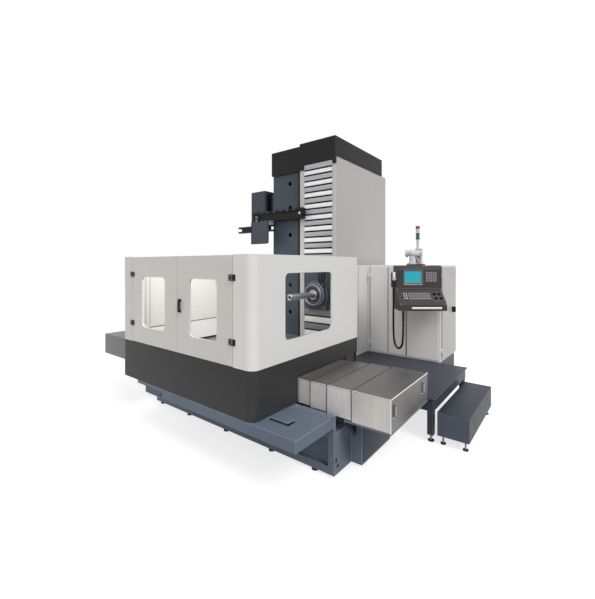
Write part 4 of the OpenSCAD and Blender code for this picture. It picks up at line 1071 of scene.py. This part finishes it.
def addCoverEnd():
    v = endValues
    bolts = spread(hexHead(*v["bolt"]), [(v["place"], y, z) for y, z in v["bolts"]], sideSeat)
    addPiece("endBolts", bolts, "brightSteel", "frame")
    rods = []
    for y in v["rodYs"]:
        path = smoothPath([(x, y, z) for x, z in v["rodRoute"]], 5)
        rods.append(tube([spot(*p) for p in path], v["rodRadius"], 14))
    addPiece("pullRods", rods, "groundSteel", "frame")
    # rolled edges down the near corner and along the end's top edge, in the lit slat steel as a painted
    # highlight
    near, far, top, low = segmentFaces(0)
    end, gap = v["place"], v["edgeGap"]
    edges = [[(end, near, top - gap), (end, near, low)], [(end, near + gap, top), (end, far, top)]]
    edges = [tube([spot(*p) for p in np.linspace(a, b, 4)], v["edgeRadius"], 10) for a, b in edges]
    addPiece("coverEdgeHighlights", edges, "slatBright", "frame")


addEdgeWipers()
addBlocks(coverBlocks)
addSegmentSheets()
addCoverEnd()
print("way covers")


spindleValues = {
    "x": -1140, "z": 1562,
    "rings": {
        # name: (finish, body, y of the profiles' zero, closed profiles of (radius, out towards the doors))
        "noseRings": ("chrome", "spindle_unit", 2555,
                      [(58, 0), (58, 5), (62, 9), (80, 9), (84, 5), (118, 5), (121, 1), (121, 0)],
                      [(156, -20), (156, 4), (160, 7), (167, 7), (171, 3), (171, -20)]),
        "noseGrooves": ("blackPaint", "spindle_unit", 2555,
                        *[[(a, -1), (a, 6), (a + 1, 7), (b - 1, 7), (b, 6), (b, -1)]
                          for a, b in ((86, 116), (122.5, 126), (151, 154.5))]),
        "noseCollar": ("collarPaint", "headstock_unit", 2600,
                       [(172, -3), (172, 22), (178, 28), (196, 28), (202, 22), (214, 6), (214, -3)]),
        "noseFlange": ("collarPaint", "headstock_unit", 2660,
                       [(211, -4), (211, 14), (216, 20), (232, 20), (238, 14), (238, -4)]),
        "quillTipRing": ("trimSteel", "quill_unit", 1937,
                         [(23, -1), (23, 4), (26, 7), (44, 7), (49.6, 1), (49.6, -1)]),
    },
    "bolts": {
        # name: (finish, body, y, (radius, height) of a head, the circle's radius, count, first angle)
        "noseBolts": ("noseSteel", "spindle_unit", 2555, (13, 12), 143, 8, 0),
        "flangeBolts": ("blackPaint", "headstock_unit", 2640, (6.5, 6), 225, 12, 15),
    },
    "bore": (1937, [(0, -3), (22.4, -3), (22.4, -1.4), (0, -1.4)]),
}

spindleBlocks = {
    "driveKeys": ("blackPaint", "quill_unit",
                  ((22, 14, 9, 2, 2), frontSeat, (-1176, 1931, 1562), (-1104, 1931, 1562))),
    # plates on the head's front above and below the nose
    "headPlates": ("columnPaint", "headstock_unit", ((340, 210, 8, 8, 2), frontSeat, (-1140, 2660, 1925)),
                   ((360, 64, 8, 8, 2), frontSeat, (-1140, 2660, 1342))),
}


def addSpindleDress():
    v = spindleValues
    for name, (finish, body, y, *profiles) in v["rings"].items():
        addPiece(name, [seated(washer(p), (v["x"], y, v["z"])) for p in profiles], finish, body)
    for name, (finish, body, y, head, *circle) in v["bolts"].items():
        addPiece(name, spread(hexHead(*head), boltCircle((v["x"], y, v["z"]), *circle)), finish, body)
    # painted shade: a black disc inside the quill's tip stands for the dark bore
    y, profile = v["bore"]
    addPiece("quillBoreShade", seated(turned(profile, 32), (v["x"], y, v["z"])), "blackPlastic", "quill_unit")


hoseValues = {
    "radius": 0.013, "rib": 0.05, "end": 1.45,      # rib and end are shares of the radius
    "routes": [
        [(-1040, 2655, 1990), (-1010, 2610, 1970), (-985, 2590, 1910), (-985, 2590, 1830),
         (-1000, 2605, 1770), (-1030, 2640, 1730)],
        [(-1075, 2655, 2000), (-1050, 2600, 1985), (-1020, 2570, 1920), (-1015, 2570, 1850),
         (-1030, 2595, 1790), (-1055, 2640, 1755)],
        [(-960, 2655, 2010), (-950, 2625, 1990), (-948, 2615, 1900), (-950, 2615, 1700), (-955, 2635, 1560)],
    ],
}


def addHoses():
    v = hoseValues
    hoses, ends = [], []
    for route in v["routes"]:
        path = smoothPath([spot(*p) for p in route], 7)
        ribs = v["radius"] * (1 + v["rib"] * np.cos(np.arange(len(path)) * math.pi))
        hoses.append(tube(path, ribs, 14))
        ends += [tube(place, v["radius"] * v["end"], 12) for place in (path[:3], path[-3:])]
    addPiece("coolantHoses", hoses, "cordRubber", "headstock_unit")
    addPiece("hoseEnds", ends, "brightSteel", "headstock_unit")


addSpindleDress()
addHoses()
addBlocks(spindleBlocks)
print("spindle")


consoleValues = {
    "bezel": (306, 222, 12),            # width, height, depth
    "bezelLip": (286, 7, 6, 6),         # width, height, depth, distance below the bezel
    "screen": (-50, 1886, 260, 176),    # own x, height, width, height
    # keys: first place, columns and rows, pitch, key
    "keypad": ((158, 1946), (5, 5), (34, 31), (22, 17, 6, 3, 2)),
    "softKeys": ((-164, 1752), (9, 1), (28.5, 0), (22, 15, 5, 2, 1.5)),
    "deskKeys": ((-130, 66), (10, 3), (33, 44), (20, 19, 7, 3, 2)),
    "lampKeys": ((-210, 66), (2, 3), (34, 44), [(0, 0), (10, 0), (10, 6), (7, 10), (0, 11)]),
    "keyRise": 2,       # how far keys and knobs start out from the face
    # plates under the keys: block, then own x and height, or own x and place up the desk
    "facePlates": [((182, 167, 3, 5, 1), 226, 1884), ((270, 26, 3, 4, 1), -50, 1752),
                   ((640, 64, 3, 6, 1), 38, 2022), ((640, 22, 3, 4, 1), 38, 1706)],
    "deskPlates": [((350, 150, 3, 6, 1), 20, 22), ((160, 176, 3, 8, 1), 290, 14)],
    "stopPlate": ((92, 150, 3, 8, 1), -252, 22),
    "seams": [((8, 372, 2.4, 1, 0.8), -306, 1870), ((8, 372, 2.4, 1, 0.8), 382, 1870)],
    "knob": [(0, 0), (28, 0), (28, 5), (23, 7), (21, 22), (17, 27), (0, 27)],
    "pointer": (7, 34, 6, 3, 1.5),
    "knobs": [(250, 58), (322, 58), (256, -26), (332, -26)],
    "screw": (5, 3),
    "faceScrews": [(-296, 2044), (-296, 1700), (372, 2044), (372, 1700)],
    "deskScrews": [(-298, 128), (-298, -128), (374, 128), (374, -128)],
    "lipBar": (-140, 300, -419, 1431, 0.0162),      # from, to, own y, height, radius
}

consoleBlocks = {
    "lipBarFeet": ("blackPlastic", "console_unit", ((26, 26, 22, 5, 2), consoleSeat,
                   *[atConsole(x, -399, 1431) for x in (-118, 80, 278)])),
    "pendantLabel": ("trimWhite", "console_unit",
                     ((40, 92, 2.4, 4, 1), consoleSeat, atConsole(-352, -238.4, 1912))),
}


def keyGrid(put, key, first, count, pitch):
    # A key at each place of a grid, column by column, the first one at the upper left
    return [put(key, first[0] + i * pitch[0], first[1] - j * pitch[1], consoleValues["keyRise"])
            for i in range(count[0]) for j in range(count[1])]


def addConsoleKeys():
    v = consoleValues
    keys = []
    for put, name in ((onFace, "keypad"), (onDesk, "deskKeys")):
        *grid, key = v[name]
        keys += keyGrid(put, softBlock(*key), *grid)
    keyField = addPiece("consoleKeycaps", keys, "keyGrey", "console_unit")
    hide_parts("console_keys")
    *grid, key = v["softKeys"]
    addPiece("softKeys", keyGrid(onFace, softBlock(*key), *grid), "plateGrey", "console_unit")
    *grid, dome = v["lampKeys"]
    addPiece("lampButtons", keyGrid(onDesk, turned(dome, 20), *grid), "lampWhite", "console_unit")
    knob, pointer = turned(v["knob"], 28), softBlock(*v["pointer"])
    knobs = [onDesk(knob, x, y, v["keyRise"]) for x, y in v["knobs"]]
    knobs += [onDesk(pointer, x, y, v["knob"][-1][1]) for x, y in v["knobs"]]
    addPiece("deskKnobs", knobs, "blackPlastic", "console_unit")


def addConsoleDress():
    v = consoleValues
    x, z, width, height = v["screen"]
    outerWidth, outerHeight, depth = v["bezel"]
    inset = (outerWidth - width) / 2
    profile = [(0, -1), (0, depth - 4), (4, depth), (12, depth), (inset + 1, 3), (inset + 1, -7), (6, -7)]
    bezel = framed(outerWidth, outerHeight, 10, profile)
    addPiece("screenBezel", onFace(bezel, x, z), "bezelGrey", "console_unit")
    *lip, drop = v["bezelLip"]
    lip = onFace(softBlock(*lip, 2, 1.5), x, z - outerHeight / 2 - drop)
    addPiece("bezelLip", lip, "lampWhite", "console_unit")
    for name, finish, put, plates in (("keyPlates", "plateGrey", onFace, v["facePlates"]),
                                      ("deskPlates", "plateGrey", onDesk, v["deskPlates"]),
                                      ("stopPlate", "plateRed", onDesk, [v["stopPlate"]]),
                                      ("consoleEdges", "plateGrey", onFace, v["seams"])):
        addPiece(name, [put(softBlock(*size), x, z) for size, x, z in plates], finish, "console_unit")
    start, end, y, height, radius = v["lipBar"]
    path = [spot(*atConsole(x, y, height)) for x in np.linspace(start, end, 12)]
    addPiece("lipBar", tube(path, radius, 20), "trimWhite", "console_unit")
    screw = hexHead(*v["screw"])
    screws = [onFace(screw, *place) for place in v["faceScrews"]]
    screws += [onDesk(screw, *place) for place in v["deskScrews"]]
    addPiece("consoleScrews", screws, "trimSteel", "console_unit")


armValues = {
    "x": 310, "tubeZ": 2250, "pivotY": 3235, "postY": 3560, "postTop": 2330,
    "cap": [(0, -6), (61, -6), (62, -4), (62, 6), (60, 8), (0, 8)],
    "lid": (102, 102, 10, 8, 3),
    # a flanged stub to the left of the pivot
    "nose": [(0, -10), (44, -10), (44, 74), (60, 76), (62, 79), (62, 89), (60, 92), (40, 92), (36, 88),
             (0, 88)],
    "bolt": (6, 6), "boltCircle": (54, 6),      # the circle's radius and count
    "foot": [(0, 0), (0, 12), (3, 15), (28, 15), (30, 12), (30, 0)],
    "footSize": (156, 150, 6), "footZ": 2065,
    # from the post's middle towards the doors, and the lid's sink into the post
    "capOut": 75, "boltOut": 82, "footOut": -8, "lidSink": 4,
}

towerValues = {
    "place": (290, 3560),
    "collar": [(0, 0), (32, 0), (33.5, 2), (33.5, 9), (32, 11), (0, 11)],
    "lifts": (160.5, 250.5, 336.5, 352, 366),       # above the post
}


def addArmDress():
    v = armValues
    x, postY = v["x"], v["postY"]
    cap = seated(turned(v["cap"], 40), (x, postY - v["capOut"], v["tubeZ"]))
    lid = seated(softBlock(*v["lid"]), (x, postY, v["postTop"] - v["lidSink"]), topSeat)
    addPiece("armFlanges", [cap, lid], "armPaint", "frame")
    nose = seated(turned(v["nose"], 40), (x, v["pivotY"], v["tubeZ"]), ((0, -1, 0), (0, 0, 1)))
    addPiece("armNose", nose, "armPaint", "frame")
    bolts = spread(hexHead(*v["bolt"]), boltCircle((x, postY - v["boltOut"], v["tubeZ"]), *v["boltCircle"]))
    addPiece("armBolts", bolts, "blackPaint", "frame")
    foot = seated(framed(*v["footSize"], v["foot"], 4), (x, postY - v["footOut"], v["footZ"]), topSeat)
    addPiece("armFoot", foot, "blackPaint", "frame")
    # tower light: a ribbed cap, and collars between the lenses
    places = [(*towerValues["place"], v["postTop"] + lift) for lift in towerValues["lifts"]]
    collars = spread(turned(towerValues["collar"], 32), places, topSeat)
    addPiece("towerCollars", collars, "blackPlastic", "frame")


addConsoleKeys()
addConsoleDress()
addBlocks(consoleBlocks)
addArmDress()
print("console and arm")


changerValues = {
    "tabBolts": ((15, 10), [(-2500, 2596, 2913), (-2500, 2596, 2984)]),     # head, places
    "railLeft": -2640, "railFront": 2620,
    "railBolt": (8, 6),
    # first from the rail's left, pitch, count, height
    "railBolts": ((150, 105, 4, 2899), (250, 160, 6, 3057)),
    "roller": ([(0, 0), (19, 0), (22, 2), (22, 12), (14, 15), (0, 15)], (-1480, 2640, 2985)),
}

changerBlocks = {
    "railRack": ("blackPaint", "column_unit", ((560, 12, 8, 4, 2), frontSeat, (-1810, 2640, 3021))),
    "railEnd": ("blackPaint", "column_unit", ((28, 196, 46, 6, 3), frontSeat, (-1427, 2656, 2980))),
    "housingCover": ("housingPaint", "column_unit", ((338, 560, 6, 14, 3), frontSeat, (-2575, 2720, 3200))),
    "housingSide": ("blackPaint", "column_unit", ((560, 530, 6, 14, 3), sideSeat, (-2390, 3040, 3185)),
                    ((500, 14, 5, 4, 2), sideSeat, *[(-2384, 3040, z) for z in range(2990, 3400, 60)])),
    # a rim down the shroud's left side and a raised cover with round corners
    "shroudRim": ("blackPaint", "carriage_unit", ((16, 410, 5, 2, 1.5), frontSeat, (-2470, 2433, 2659))),
    "shroudCover": ("housingPaint", "carriage_unit",
                    ((378, 390, 4, 58, 2.5), frontSeat, (-2257, 2433, 2659))),
    "armGrips": ("blackPaint", "arm_unit", ((74, 30, 22, 8, 4), frontSeat,
                 *[(x, 2481, z) for x in (-2826, -2020) for z in (2695, 2785)])),
}


def addChangerDress():
    v = changerValues
    head, places = v["tabBolts"]
    addPiece("tabBolts", spread(hexHead(*head), places), "brightSteel", "carriage_unit")
    places = [(v["railLeft"] + first + pitch * i, v["railFront"], z)
              for first, pitch, count, z in v["railBolts"] for i in range(count)]
    addPiece("railBolts", spread(hexHead(*v["railBolt"]), places), "groundSteel", "column_unit")
    profile, place = v["roller"]
    addPiece("railRoller", seated(turned(profile, 24), place), "brightSteel", "column_unit")


cabinetBlocks = {
    "cabinetJoints": ("jointGrey", "frame", ((22, 1486, 4, 2, 1.5), frontSeat, (124.5, 3482, 1288)),
                      ((10, 1486, 4, 2, 1.5), frontSeat, (-196, 3482, 1288), (-538, 3482, 1288))),
    "cabinetEdge": ("trimWhite", "frame", ((16, 1506, 6, 3, 2), frontSeat, (640, 3494, 1288)),
                    ((16, 1506, 4, 3, 2), sideSeat, (663, 3512, 1288))),
    "sideLatch": ("blackPlastic", "cabinet_door_2", ((44, 92, 56, 10, 4), sideSeat, (683, 4156, 1302))),
    "rearLouvres": ("cabinetPaint", "frame", ((300, 9, 7, 3, 2), rearSeat,
                    *[(400, 4450, low + 24 * i) for low in (700, 1640) for i in range(12)])),
    "rearSeams": ("jointGrey", "frame", ((8, 1200, 2.2, 1, 0.8), rearSeat,
                  *[(x, 4450, 1288) for x in (-410, 18, 440)])),
    "guardSeams": ("jointGrey", "frame",
                   ((6, 1500, 3, 1, 0.8), sideSeat, (-598, 2800, 1288), (-598, 3150, 1288))),
}

bedValues = {
    "ledgeBolt": ((14, 10), (60, 566, 622)),        # head, place
    "plug": ([(0, 0), (17, 0), (17, 3), (12, 7), (0, 7)], (500, 668, 108)),
    "anchor": (26, 20), "anchors": [(x, 642, 98) for x in (-2000, -1400, -600, 0)],
    "hose": [(560, 728, 578), (580, 716, 558), (605, 705, 521), (627, 705, 489), (654, 705, 463),
             (676, 708, 446)],
    "hoseRadius": 0.016,
}

bedBlocks = {
    "bedPlates": ("trimSteel", "frame", ((150, 110, 5, 8, 2), ((0, 1, 0), (-1, 0, 0)), (548, 1015, 331))),
    # painted shadow: a black plate on the bottom of the L-shaped slot stands for the shade in it
    "slotShadowFloor": ("blackPaint", "frame", ((260, 45, 3, 2, 1), topSeat, (146, 198.5, 596)),
                  ((43, 128, 3, 2, 1), topSeat, (254.5, 240.5, 596))),
    # painted shade: a dark panel on the bed's right side stands for the shade under the way cover
    "bedSideShadePanel": ("navyPaint", "frame", ((660, 490, 4, 10, 2), sideSeat, (624, 1290, 295))),
}


def addBedDress():
    v = bedValues
    head, place = v["ledgeBolt"]
    addPiece("ledgeBolt", seated(hexHead(*head), place, topSeat), "brightSteel", "frame")
    profile, place = v["plug"]
    addPiece("endPlug", seated(turned(profile, 24), place, sideSeat), "blackPlastic", "frame")
    addPiece("anchorNuts", spread(hexHead(*v["anchor"]), v["anchors"], topSeat), "blackPaint", "frame")
    hose = tube([spot(*p) for p in smoothPath(v["hose"], 6)], v["hoseRadius"], 14)
    addPiece("bedHose", hose, "cordRubber", "frame")


addChangerDress()
addBedDress()
for blocks in (changerBlocks, cabinetBlocks, bedBlocks):
    addBlocks(blocks)
print("changer, cabinet, bed")
